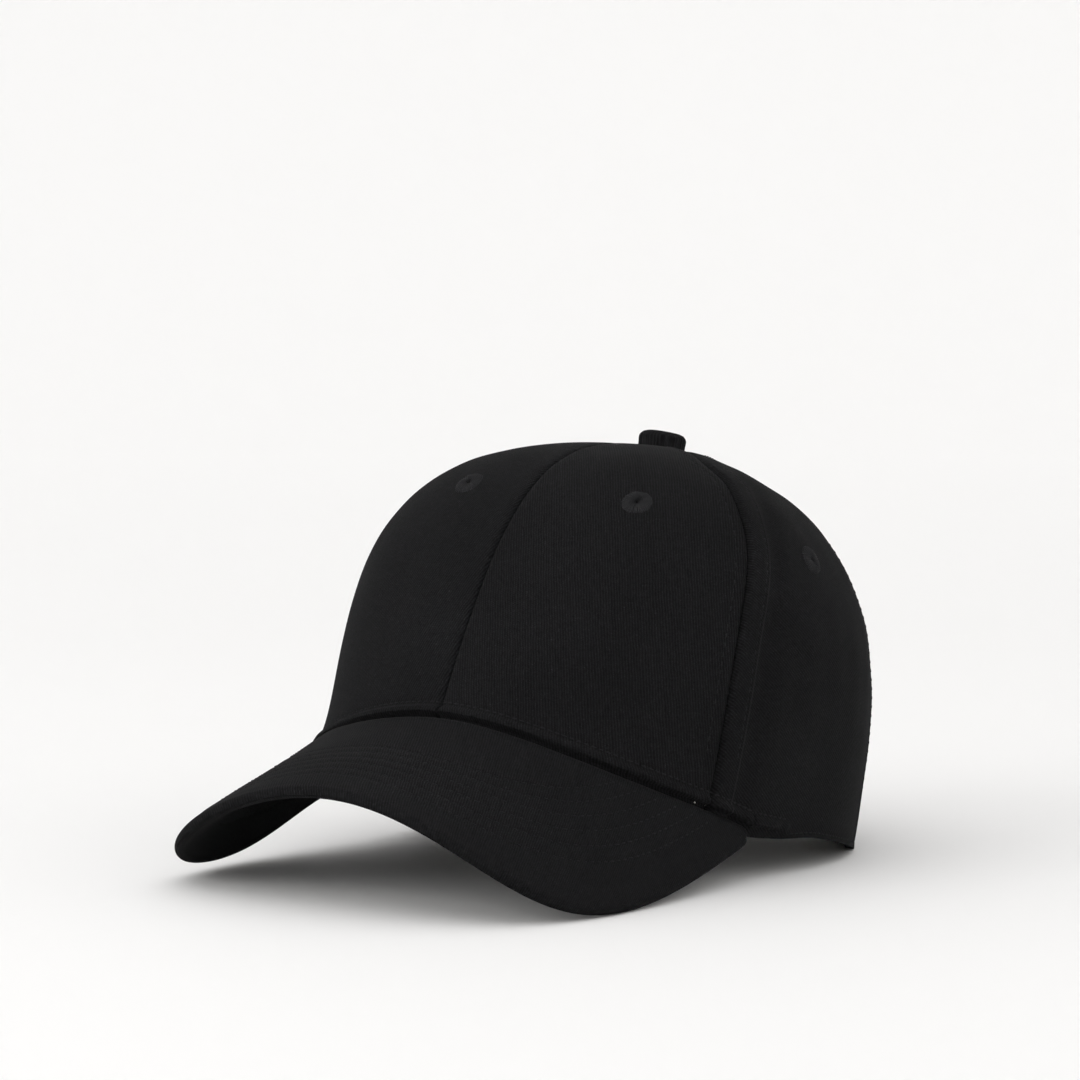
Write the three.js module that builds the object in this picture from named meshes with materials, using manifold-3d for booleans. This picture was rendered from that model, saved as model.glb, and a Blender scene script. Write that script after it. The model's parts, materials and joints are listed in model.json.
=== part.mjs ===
// Six-panel baseball cap: a stitched crown with a curved visor in front, an embroidered eyelet
// in each panel, a covered button on top, and a half-moon opening at the back, closed by a
// fabric strap that runs through a hinged clamp buckle.
//
// Frame, in millimetres: +Z up, the visor points along -Y and the wearer's left is +X. The cap
// stands on its visor's two corners and on the hem at both sides of the back opening. The
// origin is on that floor, under the centre of the cap's box.
//
// The crown is drawn in a frame of its own, on its axis, and leans back as a whole. A place on
// it is a bearing (0 in front, 90 at the wearer's left, 180 at the back), a run t up the wall
// (0 at the base plane, 1 at the top), and a depth below the outer face of the cloth.

import * as THREE from 'three';
import { mergeVertices } from 'three/addons/utils/BufferGeometryUtils.js';
import Module from 'manifold-3d';

const wasm = await Module();
wasm.setup();
const { smoothstep, lerp } = THREE.MathUtils;
const DEG = Math.PI / 180;

// ---- crown
const HALF_WIDTH = 86; // centre to side at the base plane, and centre to back
const HALF_FRONT = 113; // centre to forehead at the base plane
const PLAN_POWER = 2.35; // 2 would make the front half of the rim an ellipse
const CROWN_HEIGHT = 125; // base plane to the top
const CROWN_LEAN = 13.9; // degrees that the crown's axis leans back from upright
const CROWN_LIFT = 17; // centre of the base plane above the floor
const SIDE_START = 45; // bearing where the side wall begins to change into the back wall
const BACK_START = 125; // from here round the back, the crown is a surface of revolution
const WALLS = {
  // [inward lean at the rim, fullness of the wall, breadth of the top]
  front: [0.19, 0.82, 0.63],
  side: [-0.26, 0.69, 0.94],
  back: [-0.09, 0.695, 0.7],
};

// ---- seams and panels
const FRONT_SEAM = 54.5; // bearing of the seam between a front and a side panel
const REAR_SEAM = 121; // bearing of the seam between a side and a back panel
const SEAM_GAP = 0.4;
const PANEL_TOP = 0.975; // the panels stop here and leave the hole for the button's stud
const WALL_ROWS = 12; // rows of facets from the hem to the panels' top, shared by every layer
const PANEL_COLUMNS = 8;
const BUCKRAM_ROWS = 11;
const TAPE_ROWS = 10; // the last row that the seam tapes reach
const REAR_TAPE_START = 5; // the centre back tape starts above the opening's binding
const TAPE_HALF = 5;

// ---- layers, as depths of the outer and inner face below the crown's outer surface
const LAYER = {
  panel: [0, 0.8],
  buckram: [1.2, 1.8],
  tape: [1.3, 1.7],
  frontTape: [2.3, 2.7],
  tab: [2, 2.5],
  strap: [3, 3.9],
  sweatband: [4.2, 5.2],
  label: [6, 6.4],
};

// ---- eyelets
const EYELETS = {
  front_left: [30.8, 0.48],
  front_right: [-19.8, 0.498],
  side_left: [77.3, 0.443],
  side_right: [-77.3, 0.443],
  back_left: [150, 0.5],
  back_right: [-150, 0.5],
};
const EYELET_HOLE = 2.9; // hole cut through the panel
const EYELET_RADIUS = 5.1; // outside of the stitched ring
const EYELET_BORE = 1.2;

// ---- visor, drawn as a flat pattern (u across, v forward) that is bent over an arch
const VISOR_HALF = 118.5; // half the pattern's width
const VISOR_REACH = 155.2; // root line to the tip
const VISOR_POWER = 3;
const VISOR_ROOT = -32.6; // y of the pattern's root line
const VISOR_SLOPE = 29.8; // degrees that the visor falls towards its tip
const VISOR_HEIGHT = 13.2; // height of the visor's surface at the forehead, on the base plane's front
const ARCH_RADIUS = 84.6; // radius of the arch at the root line
const ARCH_FLARE = 0.108; // growth of that radius towards the tip
const VISOR_END = 67; // bearing where the visor's corners run into the crown
const PATTERN_END = 88; // angle of the same corners in the flat pattern
const VISOR_LAYER = {
  // [upper face, lower face, distance inside the outline]
  top: [0, 0.8, 0],
  board: [1.1, 3.2, 2.2],
  under: [3.5, 4.3, 0],
};
const VISOR_THICKNESS = 4.3;
const VISOR_GAP = 0.4; // to the crown's wall
const HEM_FADE = 25; // degrees over which the hem leaves the visor's underside
const HEM_DIP = -5; // height of the hem at the rear seam, from where it follows the floor
const FLOOR_TRIM = 0.2; // how far the back panels are drawn past the floor that trims them

// ---- sweatband and label
const SWEATBAND_HEIGHT = 31;
const SWEATBAND_INSET = 0.8; // above the hem
const LABEL = { bearing: [96, 110], above: [5, 26] };

// ---- back opening, strap and buckle
const OPENING_HALF = 33; // degrees from the back to each side of the opening
const OPENING_WIDTH = HALF_WIDTH * Math.sin(OPENING_HALF * DEG);
const OPENING_HEIGHT = 50;
const BINDING_WIDTH = 8;
const STRAP_BEARING = [133, 227];
const STRAP_SPAN = [7, 27]; // lower and upper edge above the base plane
const BUCKLE_BEARING = [191, 206];
const BUCKLE_SPAN = [5.7, 28.3];
const BUCKLE_WALL = 1;
const BUCKLE_DEPTH = [-0.9, 4.9];
const BUCKLE_PLATE = { end: 202, depth: [4.2, 4.9] };
const BUCKLE_BAR = { bearing: [204, 205.6], depth: [0.9, 1.6] };
const PIN = { bearing: 193.2, depth: 0.5, radius: 0.6, bore: 0.9, overhang: 0.8 };
const LEVER = { end: 202.8, depth: [0.9, 1.6], knuckle: 1.5 };
const TAB_SPAN = [8.5, 25.5];

// ---- button
const BUTTON_RADIUS = 8.2;
const BUTTON_HEIGHT = 7;
const BUTTON_CLEARANCE = 0.35;
const STUD_RADIUS = 1.5;

const FLOOR_BLOCK = 400;

// ==== materials
const cloth = (color) => new THREE.MeshStandardMaterial({ color, roughness: 0.95, metalness: 0 });
const MATERIAL = {
  twill: cloth(0x17181c),
  thread: cloth(0x1f2024),
  buckram: cloth(0xb9b5aa),
  tape: cloth(0x121316),
  sweatband: cloth(0x101114),
  label: cloth(0xd8d6d0),
  board: new THREE.MeshStandardMaterial({ color: 0x2b2c2e, roughness: 0.6, metalness: 0 }),
  metal: new THREE.MeshStandardMaterial({ color: 0x3a3a3c, roughness: 0.4, metalness: 1 }),
};

// ==== solids
function signedVolume(geometry) {
  const position = geometry.attributes.position;
  const corner = [0, 1, 2].map(() => new THREE.Vector3());
  let volume = 0;
  for (let i = 0; i < geometry.index.count; i += 3) {
    corner.forEach((p, k) => p.fromBufferAttribute(position, geometry.index.getX(i + k)));
    volume += corner[0].dot(corner[1].clone().cross(corner[2])) / 6;
  }
  return volume;
}

function turnOutward(geometry) {
  if (signedVolume(geometry) > 0) return geometry;
  const index = geometry.index;
  for (let i = 0; i < index.count; i += 3) {
    const first = index.getX(i);
    index.setX(i, index.getX(i + 1));
    index.setX(i + 1, first);
  }
  return geometry;
}

function weld(geometry) {
  geometry.deleteAttribute('normal');
  geometry.deleteAttribute('uv');
  return mergeVertices(geometry, 1e-5);
}

// Moves each corner of a closed form drawn in the coordinates (a, b, c) to place(a, b, c).
function bend(geometry, place) {
  const bent = weld(geometry);
  const position = bent.attributes.position;
  for (let i = 0; i < position.count; i += 1) {
    const p = place(position.getX(i), position.getY(i), position.getZ(i));
    position.setXYZ(i, p.x, p.y, p.z);
  }
  return turnOutward(bent);
}

// A closed sheet of nu x nv quads, whose three coordinates run from 0 to 1. Both faces split
// their quads along the same diagonal, so that sheets on one grid nest without touching.
function slab(nu, nv, place) {
  const points = [];
  const faces = [];
  const corner = (i, j, k) => (i * (nv + 1) + j) * 2 + k;
  const quad = (a, b, c, d) => faces.push(a, b, c, a, c, d);
  for (let i = 0; i <= nu; i += 1) {
    for (let j = 0; j <= nv; j += 1) {
      for (let k = 0; k <= 1; k += 1) points.push(...place(i / nu, j / nv, k).toArray());
    }
  }
  for (let i = 0; i < nu; i += 1) {
    for (let j = 0; j < nv; j += 1) {
      quad(corner(i, j, 1), corner(i + 1, j, 1), corner(i + 1, j + 1, 1), corner(i, j + 1, 1));
      faces.push(corner(i, j, 0), corner(i + 1, j + 1, 0), corner(i + 1, j, 0));
      faces.push(corner(i, j, 0), corner(i, j + 1, 0), corner(i + 1, j + 1, 0));
    }
    quad(corner(i, 0, 0), corner(i + 1, 0, 0), corner(i + 1, 0, 1), corner(i, 0, 1));
    quad(corner(i, nv, 1), corner(i + 1, nv, 1), corner(i + 1, nv, 0), corner(i, nv, 0));
  }
  for (let j = 0; j < nv; j += 1) {
    quad(corner(0, j, 1), corner(0, j + 1, 1), corner(0, j + 1, 0), corner(0, j, 0));
    quad(corner(nu, j, 0), corner(nu, j + 1, 0), corner(nu, j + 1, 1), corner(nu, j, 1));
  }
  const sheet = new THREE.BufferGeometry();
  sheet.setAttribute('position', new THREE.Float32BufferAttribute(points, 3));
  sheet.setIndex(new THREE.BufferAttribute(new Uint32Array(faces), 1));
  return turnOutward(sheet);
}

function solid(geometry) {
  const closed = geometry.index && !geometry.attributes.normal ? geometry : weld(geometry);
  return new wasm.Manifold(new wasm.Mesh({
    numProp: 3,
    vertProperties: new Float32Array(closed.attributes.position.array),
    triVerts: new Uint32Array(closed.index.array),
  }));
}

function geometryOf(manifold) {
  const mesh = manifold.getMesh();
  const geometry = new THREE.BufferGeometry();
  geometry.setAttribute('position', new THREE.BufferAttribute(new Float32Array(mesh.vertProperties), 3));
  geometry.setIndex(new THREE.BufferAttribute(new Uint32Array(mesh.triVerts), 1));
  return geometry;
}

// ==== the crown's surface
// Radius of a superellipse in the direction of an angle from its second axis.
function superellipse(angle, across, along, power) {
  return ((Math.abs(Math.sin(angle)) / across) ** power
    + (Math.abs(Math.cos(angle)) / along) ** power) ** (-1 / power);
}

function rimRadius(bearing) {
  if (Math.cos(bearing * DEG) < 0) return HALF_WIDTH;
  return superellipse(bearing * DEG, HALF_WIDTH, HALF_FRONT, PLAN_POWER);
}

function wallShape(bearing) {
  const forward = Math.cos(bearing * DEG);
  const turn = Math.acos(forward) / DEG;
  const front = forward > 0 ? (rimRadius(bearing) * forward / HALF_FRONT) ** PLAN_POWER : 0;
  const back = (1 - front) * smoothstep(turn, SIDE_START, BACK_START);
  const side = 1 - front - back;
  return [0, 1, 2].map((k) => front * WALLS.front[k] + side * WALLS.side[k] + back * WALLS.back[k]);
}

// How far out, as a share of the rim's radius, and how high the wall is at run t.
function meridian(bearing, t) {
  const [lean, fullness, breadth] = wallShape(bearing);
  const s = 1 - t;
  return {
    reach: s ** 3 + 3 * s * s * t * (1 - lean) + 3 * s * t * t * breadth,
    height: CROWN_HEIGHT * (3 * s * s * t * fullness + 3 * s * t * t + t ** 3),
  };
}

function crownSurface(bearing, t) {
  const { reach, height } = meridian(bearing, t);
  const radius = reach * rimRadius(bearing);
  return new THREE.Vector3(
    radius * Math.sin(bearing * DEG),
    -radius * Math.cos(bearing * DEG),
    height,
  );
}

function crownNormal(bearing, t) {
  const around = crownSurface(bearing + 0.01, t).sub(crownSurface(bearing - 0.01, t));
  const up = crownSurface(bearing, t + 1e-4).sub(crownSurface(bearing, t - 1e-4));
  return around.cross(up).normalize();
}

function crownPoint(bearing, t, depth) {
  return crownSurface(bearing, t).addScaledVector(crownNormal(bearing, t), -depth);
}

// The run where a rising quantity reaches zero.
function solveRun(quantity) {
  let [low, high] = [-0.3, 0.6];
  for (let i = 0; i < 30; i += 1) {
    const middle = (low + high) / 2;
    if (quantity(middle) < 0) low = middle;
    else high = middle;
  }
  return (low + high) / 2;
}

const runAtHeight = (bearing, height) => solveRun((t) => meridian(bearing, t).height - height);
const bandPoint = (bearing, height, depth) => crownPoint(bearing, runAtHeight(bearing, height), depth);

// ==== the visor's surface
const SLOPE = VISOR_SLOPE * DEG;
const archRadius = (forward) => ARCH_RADIUS + ARCH_FLARE * forward;

function visorSurface(u, v) {
  const forward = v * Math.cos(SLOPE);
  const radius = archRadius(forward);
  const y = VISOR_ROOT - forward;
  return new THREE.Vector3(
    radius * Math.sin(u / radius),
    y,
    VISOR_HEIGHT + Math.tan(SLOPE) * (y + HALF_FRONT) - radius * (1 - Math.cos(u / radius)),
  );
}

function visorPoint(u, v, depth) {
  const across = visorSurface(u + 0.01, v).sub(visorSurface(u - 0.01, v));
  const ahead = visorSurface(u, v + 0.01).sub(visorSurface(u, v - 0.01));
  return visorSurface(u, v).addScaledVector(across.cross(ahead).normalize(), depth);
}

function visorHeight(x, y) {
  const radius = archRadius(VISOR_ROOT - y);
  const reach = Math.min(Math.abs(x), 0.98 * radius);
  return VISOR_HEIGHT + Math.tan(SLOPE) * (y + HALF_FRONT)
    - radius + Math.sqrt(radius * radius - reach * reach);
}

// The flat pattern's place of a point on the visor's surface.
function patternOf(point) {
  const forward = VISOR_ROOT - point.y;
  const radius = archRadius(forward);
  const ratio = THREE.MathUtils.clamp(point.x / radius, -0.995, 0.995);
  return new THREE.Vector2(radius * Math.asin(ratio), forward / Math.cos(SLOPE));
}

function patternEdge(angle, inset) {
  const radius = superellipse(angle * DEG, VISOR_HALF - inset, VISOR_REACH - inset, VISOR_POWER);
  return new THREE.Vector2(radius * Math.sin(angle * DEG), radius * Math.cos(angle * DEG));
}

// ==== the hem: the crown's lower edge
function runOnVisor(bearing, drop) {
  return solveRun((t) => {
    const p = crownSurface(bearing, t);
    return p.z - visorHeight(p.x, p.y) + drop;
  });
}

const cornerHeight = meridian(VISOR_END, runOnVisor(VISOR_END, 0)).height;

function hemRun(bearing) {
  const turn = Math.acos(Math.cos(bearing * DEG)) / DEG;
  if (turn <= VISOR_END) return runOnVisor(turn, VISOR_THICKNESS);
  const dip = lerp(cornerHeight, HEM_DIP, smoothstep(turn, VISOR_END, REAR_SEAM));
  const under = VISOR_THICKNESS * (1 - smoothstep(turn, VISOR_END, VISOR_END + HEM_FADE));
  return runAtHeight(bearing, Math.max(dip - under, floorHeight(bearing) - FLOOR_TRIM));
}

// The height above the base plane at which the back of the rim meets the floor.
function floorHeight(bearing) {
  const backward = HALF_WIDTH * Math.max(0, -Math.cos(bearing * DEG));
  return (backward * Math.sin(CROWN_LEAN * DEG) - CROWN_LIFT) / Math.cos(CROWN_LEAN * DEG);
}

const hemHeight = (bearing) => meridian(bearing, hemRun(bearing)).height;

// ==== cutting tools
function eyeletHole([bearing, t]) {
  const hole = new THREE.CylinderGeometry(EYELET_HOLE, EYELET_HOLE, 12, 16);
  return solid(hole.applyMatrix4(eyeletFrame([bearing, t])));
}

// Places a piece drawn along +Y so that +Y is the outward normal of the crown.
function eyeletFrame([bearing, t]) {
  const turn = new THREE.Quaternion().setFromUnitVectors(
    new THREE.Vector3(0, 1, 0),
    crownNormal(bearing, t),
  );
  const frame = new THREE.Matrix4().makeRotationFromQuaternion(turn);
  return frame.setPosition(crownSurface(bearing, t));
}

function halfMoon(extra) {
  const outline = new THREE.Shape();
  outline.absellipse(0, 0, OPENING_WIDTH + extra, OPENING_HEIGHT + extra, 0, 2 * Math.PI);
  const prism = new THREE.ExtrudeGeometry(outline, { depth: 90, bevelEnabled: false, curveSegments: 24 });
  return solid(prism.rotateX(Math.PI / 2).translate(0, 120, 0));
}

// All that is below the floor, seen from the crown's frame.
function floorBlock() {
  const block = new THREE.BoxGeometry(FLOOR_BLOCK, FLOOR_BLOCK, FLOOR_BLOCK);
  block.translate(0, 0, -FLOOR_BLOCK / 2 - CROWN_LIFT);
  return solid(block.rotateX(CROWN_LEAN * DEG));
}
const belowFloor = floorBlock();

// ==== crown pieces
function seamEdge(bearing, t, side) {
  const radius = meridian(bearing, t).reach * HALF_WIDTH;
  return bearing + side * (SEAM_GAP / 2 / radius) / DEG;
}

const runAtRow = (bearing, row) => lerp(hemRun(bearing), PANEL_TOP, row / WALL_ROWS);

function panelSheet(from, to, layer, rows) {
  return slab(PANEL_COLUMNS, rows, (u, v, w) => {
    const t = runAtRow(lerp(from, to, u), v * rows);
    const bearing = lerp(seamEdge(from, t, 1), seamEdge(to, t, -1), u);
    return crownPoint(bearing, t, lerp(layer[0], layer[1], w));
  });
}

function panel(from, to, eyelet) {
  const sheet = solid(panelSheet(from, to, LAYER.panel, WALL_ROWS));
  return sheet.subtract(eyeletHole(eyelet));
}

function backPanel(from, to, eyelet) {
  return panel(from, to, eyelet).subtract(halfMoon(0)).subtract(belowFloor);
}

function buckram(from, to, eyelet) {
  const sheet = solid(panelSheet(from, to, LAYER.buckram, BUCKRAM_ROWS));
  return geometryOf(sheet.subtract(eyeletHole(eyelet)));
}

// A strip on the inside of a seam.
function seamTape(bearing, layer, start = 0) {
  return slab(2, TAPE_ROWS - start, (u, v, w) => {
    const t = runAtRow(bearing, lerp(start, TAPE_ROWS, v));
    const radius = meridian(bearing, t).reach * rimRadius(bearing);
    const offset = lerp(-TAPE_HALF, TAPE_HALF, u) / radius / DEG;
    return crownPoint(bearing + offset, t, lerp(layer[0], layer[1], w));
  });
}

// A stitched ring, with a sleeve that goes through the panel.
function eyelet(place) {
  const lip = 0.35;
  const crest = 1.1;
  const profile = [
    [EYELET_BORE, -1], [EYELET_HOLE - 0.35, -1], [EYELET_HOLE - 0.35, lip], [EYELET_RADIUS, lip],
    [EYELET_RADIUS, lip + 0.35], [3.4, crest], [EYELET_BORE + 0.5, crest - 0.1], [EYELET_BORE, 0.6],
    [EYELET_BORE, -1],
  ].map(([x, y]) => new THREE.Vector2(x, y));
  return turnOutward(weld(new THREE.LatheGeometry(profile, 14))).applyMatrix4(eyeletFrame(place));
}

function binding() {
  const sheet = solid(slab(24, 12, (u, v, w) => {
    const bearing = lerp(BACK_START + 2, 360 - BACK_START - 2, u);
    const height = lerp(0.3, OPENING_HEIGHT + BINDING_WIDTH + 6, v);
    return bandPoint(bearing, height, lerp(LAYER.tape[0], LAYER.tape[1], w));
  }));
  return geometryOf(sheet.intersect(halfMoon(BINDING_WIDTH)).subtract(halfMoon(0)));
}

function sweatband() {
  const end = 180 - OPENING_HALF;
  return slab(44, 3, (u, v, w) => {
    const bearing = lerp(-end, end, u);
    const height = hemHeight(bearing) + SWEATBAND_INSET + v * SWEATBAND_HEIGHT;
    return bandPoint(bearing, height, lerp(LAYER.sweatband[0], LAYER.sweatband[1], w));
  });
}

function careLabel() {
  return slab(3, 2, (u, v, w) => {
    const bearing = lerp(LABEL.bearing[0], LABEL.bearing[1], u);
    const height = hemHeight(bearing) + lerp(LABEL.above[0], LABEL.above[1], v);
    return bandPoint(bearing, height, lerp(LAYER.label[0], LAYER.label[1], w));
  });
}

// ==== visor pieces
// How far a point is outside the crown's wall, at its own height.
function outsideCrown(point) {
  const bearing = Math.atan2(point.x, -point.y) / DEG;
  const radius = Math.hypot(point.x, point.y);
  return radius - meridian(bearing, runAtHeight(bearing, point.z)).reach * rimRadius(bearing);
}

// The share of the way from the visor's edge to the crown at which a layer meets the wall.
function wallShare(edge, root, depth) {
  let [low, high] = [0, 1.2];
  for (let i = 0; i < 30; i += 1) {
    const middle = (low + high) / 2;
    const place = edge.clone().lerp(root, middle);
    if (outsideCrown(visorPoint(place.x, place.y, depth)) > VISOR_GAP) low = middle;
    else high = middle;
  }
  return (low + high) / 2;
}

function visorLayer([upper, lower, inset]) {
  return slab(26, 4, (u, v, w) => {
    const side = 2 * u - 1;
    const depth = lerp(upper, lower, w);
    const bearing = side * VISOR_END;
    const root = patternOf(crownSurface(bearing, runOnVisor(bearing, 0)));
    const edge = patternEdge(side * PATTERN_END, inset);
    const place = edge.clone().lerp(root, wallShare(edge, root, depth) * v);
    return visorPoint(place.x, place.y, depth);
  });
}

// ==== button
function lathe(profile, segments) {
  const points = profile.map(([x, y]) => new THREE.Vector2(x, y));
  return turnOutward(weld(new THREE.LatheGeometry(points, segments))).rotateX(Math.PI / 2);
}

const BUTTON_BASE = CROWN_HEIGHT + BUTTON_CLEARANCE;

function buttonCover() {
  const r = BUTTON_RADIUS;
  const h = BUTTON_HEIGHT;
  return lathe([
    [0, h], [0.6 * r, h - 0.25], [0.86 * r, h - 1], [0.97 * r, h - 2.1], [r, 0.4 * h],
    [0.96 * r, 0.5], [0.85 * r, 0], [0.6 * r, 0], [0.6 * r, 0.7], [0.85 * r, 0.8],
    [0.88 * r, 0.4 * h], [0.8 * r, h - 1.6], [0.5 * r, h - 1.05], [0, h - 0.9],
  ], 24).translate(0, 0, BUTTON_BASE);
}

function buttonShell() {
  const r = 0.8 * BUTTON_RADIUS;
  const top = BUTTON_HEIGHT - 1.5;
  return lathe([
    [0, top], [0.6 * r, top - 0.2], [0.92 * r, top - 0.9], [r, 1.2], [0.9 * r, 1.2],
    [0.8 * r, top - 1.3], [STUD_RADIUS, top - 1], [STUD_RADIUS, -6], [0, -6],
  ], 24).translate(0, 0, BUTTON_BASE);
}

function buttonWasher() {
  const bore = STUD_RADIUS + 0.3;
  return lathe([[bore, -3.5], [6, -3.2], [6, -2.5], [bore, -2.5], [bore, -3.5]], 24)
    .translate(0, 0, BUTTON_BASE);
}

// ==== strap and buckle
function bandBlock(bearings, heights, depths, steps) {
  return slab(steps, 3, (u, v, w) => bandPoint(
    lerp(bearings[0], bearings[1], u),
    lerp(heights[0], heights[1], v),
    lerp(depths[0], depths[1], w),
  ));
}

// A round bar along the wall at the pin's place.
function pinRod(radius, from, to) {
  const low = bandPoint(PIN.bearing, BUCKLE_SPAN[0], PIN.depth);
  const high = bandPoint(PIN.bearing, BUCKLE_SPAN[1], PIN.depth);
  const along = high.clone().sub(low).normalize();
  const turn = new THREE.Quaternion().setFromUnitVectors(new THREE.Vector3(0, 1, 0), along);
  const rod = new THREE.CylinderGeometry(radius, radius, to - from, 16);
  rod.applyQuaternion(turn);
  const centre = low.addScaledVector(along, (from + to) / 2 - BUCKLE_SPAN[0]);
  return rod.translate(centre.x, centre.y, centre.z);
}

function buckleFrame() {
  const [low, high] = BUCKLE_SPAN;
  const bar = [low + 0.5 * BUCKLE_WALL, high - 0.5 * BUCKLE_WALL];
  const plateBearing = [BUCKLE_BEARING[0], BUCKLE_PLATE.end];
  return geometryOf([
    bandBlock(BUCKLE_BEARING, [low, low + BUCKLE_WALL], BUCKLE_DEPTH, 6),
    bandBlock(BUCKLE_BEARING, [high - BUCKLE_WALL, high], BUCKLE_DEPTH, 6),
    bandBlock(plateBearing, bar, BUCKLE_PLATE.depth, 5),
    bandBlock(BUCKLE_BAR.bearing, bar, BUCKLE_BAR.depth, 1),
  ].map(solid).reduce((all, piece) => all.add(piece))
    .subtract(solid(pinRod(PIN.bore, low - 2, high + 2))));
}

function leverPlate() {
  const heights = [BUCKLE_SPAN[0] + BUCKLE_WALL + 0.4, BUCKLE_SPAN[1] - BUCKLE_WALL - 0.4];
  return geometryOf(solid(bandBlock([PIN.bearing, LEVER.end], heights, LEVER.depth, 5))
    .add(solid(pinRod(LEVER.knuckle, ...heights)))
    .subtract(solid(pinRod(PIN.bore, BUCKLE_SPAN[0] - 2, BUCKLE_SPAN[1] + 2))));
}

// The tab comes out from under the panel, passes behind the buckle's bar and folds round it.
function buckleTab() {
  const [outer, inner] = LAYER.tab;
  const [barStart, barEnd] = BUCKLE_BAR.bearing;
  const fold = barStart - 0.8;
  const section = new THREE.Shape([
    [220, inner], [216, inner], [212, inner], [208, inner], [fold, inner],
    [fold - 0.4, inner - 0.5], [fold - 0.4, 0.4], [fold, -0.1], [barEnd + 0.6, -0.1],
    [barEnd + 0.6, BUCKLE_BAR.depth[0] - 0.35], [barStart - 0.3, BUCKLE_BAR.depth[0] - 0.35],
    [barStart - 0.3, outer], [208, outer], [212, outer], [216, outer], [220, outer],
  ].map(([bearing, depth]) => new THREE.Vector2(bearing, depth)));
  const length = TAB_SPAN[1] - TAB_SPAN[0];
  const strip = new THREE.ExtrudeGeometry(section, { depth: length, steps: 2, bevelEnabled: false });
  return bend(strip, (bearing, depth, along) => bandPoint(bearing, TAB_SPAN[0] + along, depth));
}

// ==== assembly
const crown = new THREE.Group();
crown.rotation.x = -CROWN_LEAN * DEG;
crown.position.z = CROWN_LIFT;

function piece(name, geometry, material) {
  const mesh = new THREE.Mesh(geometry, material);
  mesh.name = name;
  crown.add(mesh);
}

for (const [side, sign] of [['left', 1], ['right', -1]]) {
  const span = (from, to) => [sign * from, sign * to].sort((a, b) => a - b);
  const front = EYELETS[`front_${side}`];
  piece(`crown_panel_front_${side}`, geometryOf(panel(...span(0, FRONT_SEAM), front)), MATERIAL.twill);
  piece(`crown_panel_side_${side}`,
    geometryOf(panel(...span(FRONT_SEAM, REAR_SEAM), EYELETS[`side_${side}`])), MATERIAL.twill);
  piece(`crown_panel_back_${side}`,
    geometryOf(backPanel(...span(REAR_SEAM, 180), EYELETS[`back_${side}`])), MATERIAL.twill);
  piece(`buckram_${side}`, buckram(...span(0, FRONT_SEAM), front), MATERIAL.buckram);
  piece(`seam_tape_front_${side}`,
    seamTape(sign * FRONT_SEAM, LAYER.frontTape), MATERIAL.tape);
  piece(`seam_tape_rear_${side}`, seamTape(sign * REAR_SEAM, LAYER.tape), MATERIAL.tape);
}
piece('seam_tape_centre_front', seamTape(0, LAYER.frontTape), MATERIAL.tape);
piece('seam_tape_centre_back', seamTape(180, LAYER.tape, REAR_TAPE_START), MATERIAL.tape);
for (const [place, position] of Object.entries(EYELETS)) {
  piece(`eyelet_${place}`, eyelet(position), MATERIAL.thread);
}
piece('sweatband', sweatband(), MATERIAL.sweatband);
piece('care_label', careLabel(), MATERIAL.label);

piece('visor_top_fabric', visorLayer(VISOR_LAYER.top), MATERIAL.twill);
piece('visor_board', visorLayer(VISOR_LAYER.board), MATERIAL.board);
piece('visor_under_fabric',
  geometryOf(solid(visorLayer(VISOR_LAYER.under)).subtract(belowFloor)), MATERIAL.twill);

piece('top_button_cover', buttonCover(), MATERIAL.twill);
piece('top_button_shell', buttonShell(), MATERIAL.metal);
piece('top_button_washer', buttonWasher(), MATERIAL.metal);

piece('opening_binding', binding(), MATERIAL.tape);
piece('strap', bandBlock(STRAP_BEARING, STRAP_SPAN, LAYER.strap, 24), MATERIAL.twill);
piece('buckle_tab', buckleTab(), MATERIAL.twill);
piece('buckle_frame', buckleFrame(), MATERIAL.metal);
piece('buckle_pin',
  pinRod(PIN.radius, BUCKLE_SPAN[0] - PIN.overhang, BUCKLE_SPAN[1] + PIN.overhang), MATERIAL.metal);
piece('buckle_lever', leverPlate(), MATERIAL.metal);

const cap = new THREE.Group();
cap.add(crown);
cap.updateMatrixWorld(true);
const box = new THREE.Box3().setFromObject(cap, true);
cap.position.set(0, -(box.min.y + box.max.y) / 2, 0);

export default cap;
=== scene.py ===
"""The looks of a black six-panel baseball cap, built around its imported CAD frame.

Sizes are in millimetres. The crown is drawn in its own frame, which leans back as a whole. A
place on it is a bearing in degrees (0 in front, 90 at the wearer's left, 180 at the back), a run
t up the wall (0 at the base plane, 1 at the top) and a depth below the cloth's outer face.
The visor is a flat pattern (u across, v forward) that is bent over an arch.
"""

import json
import math

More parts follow.
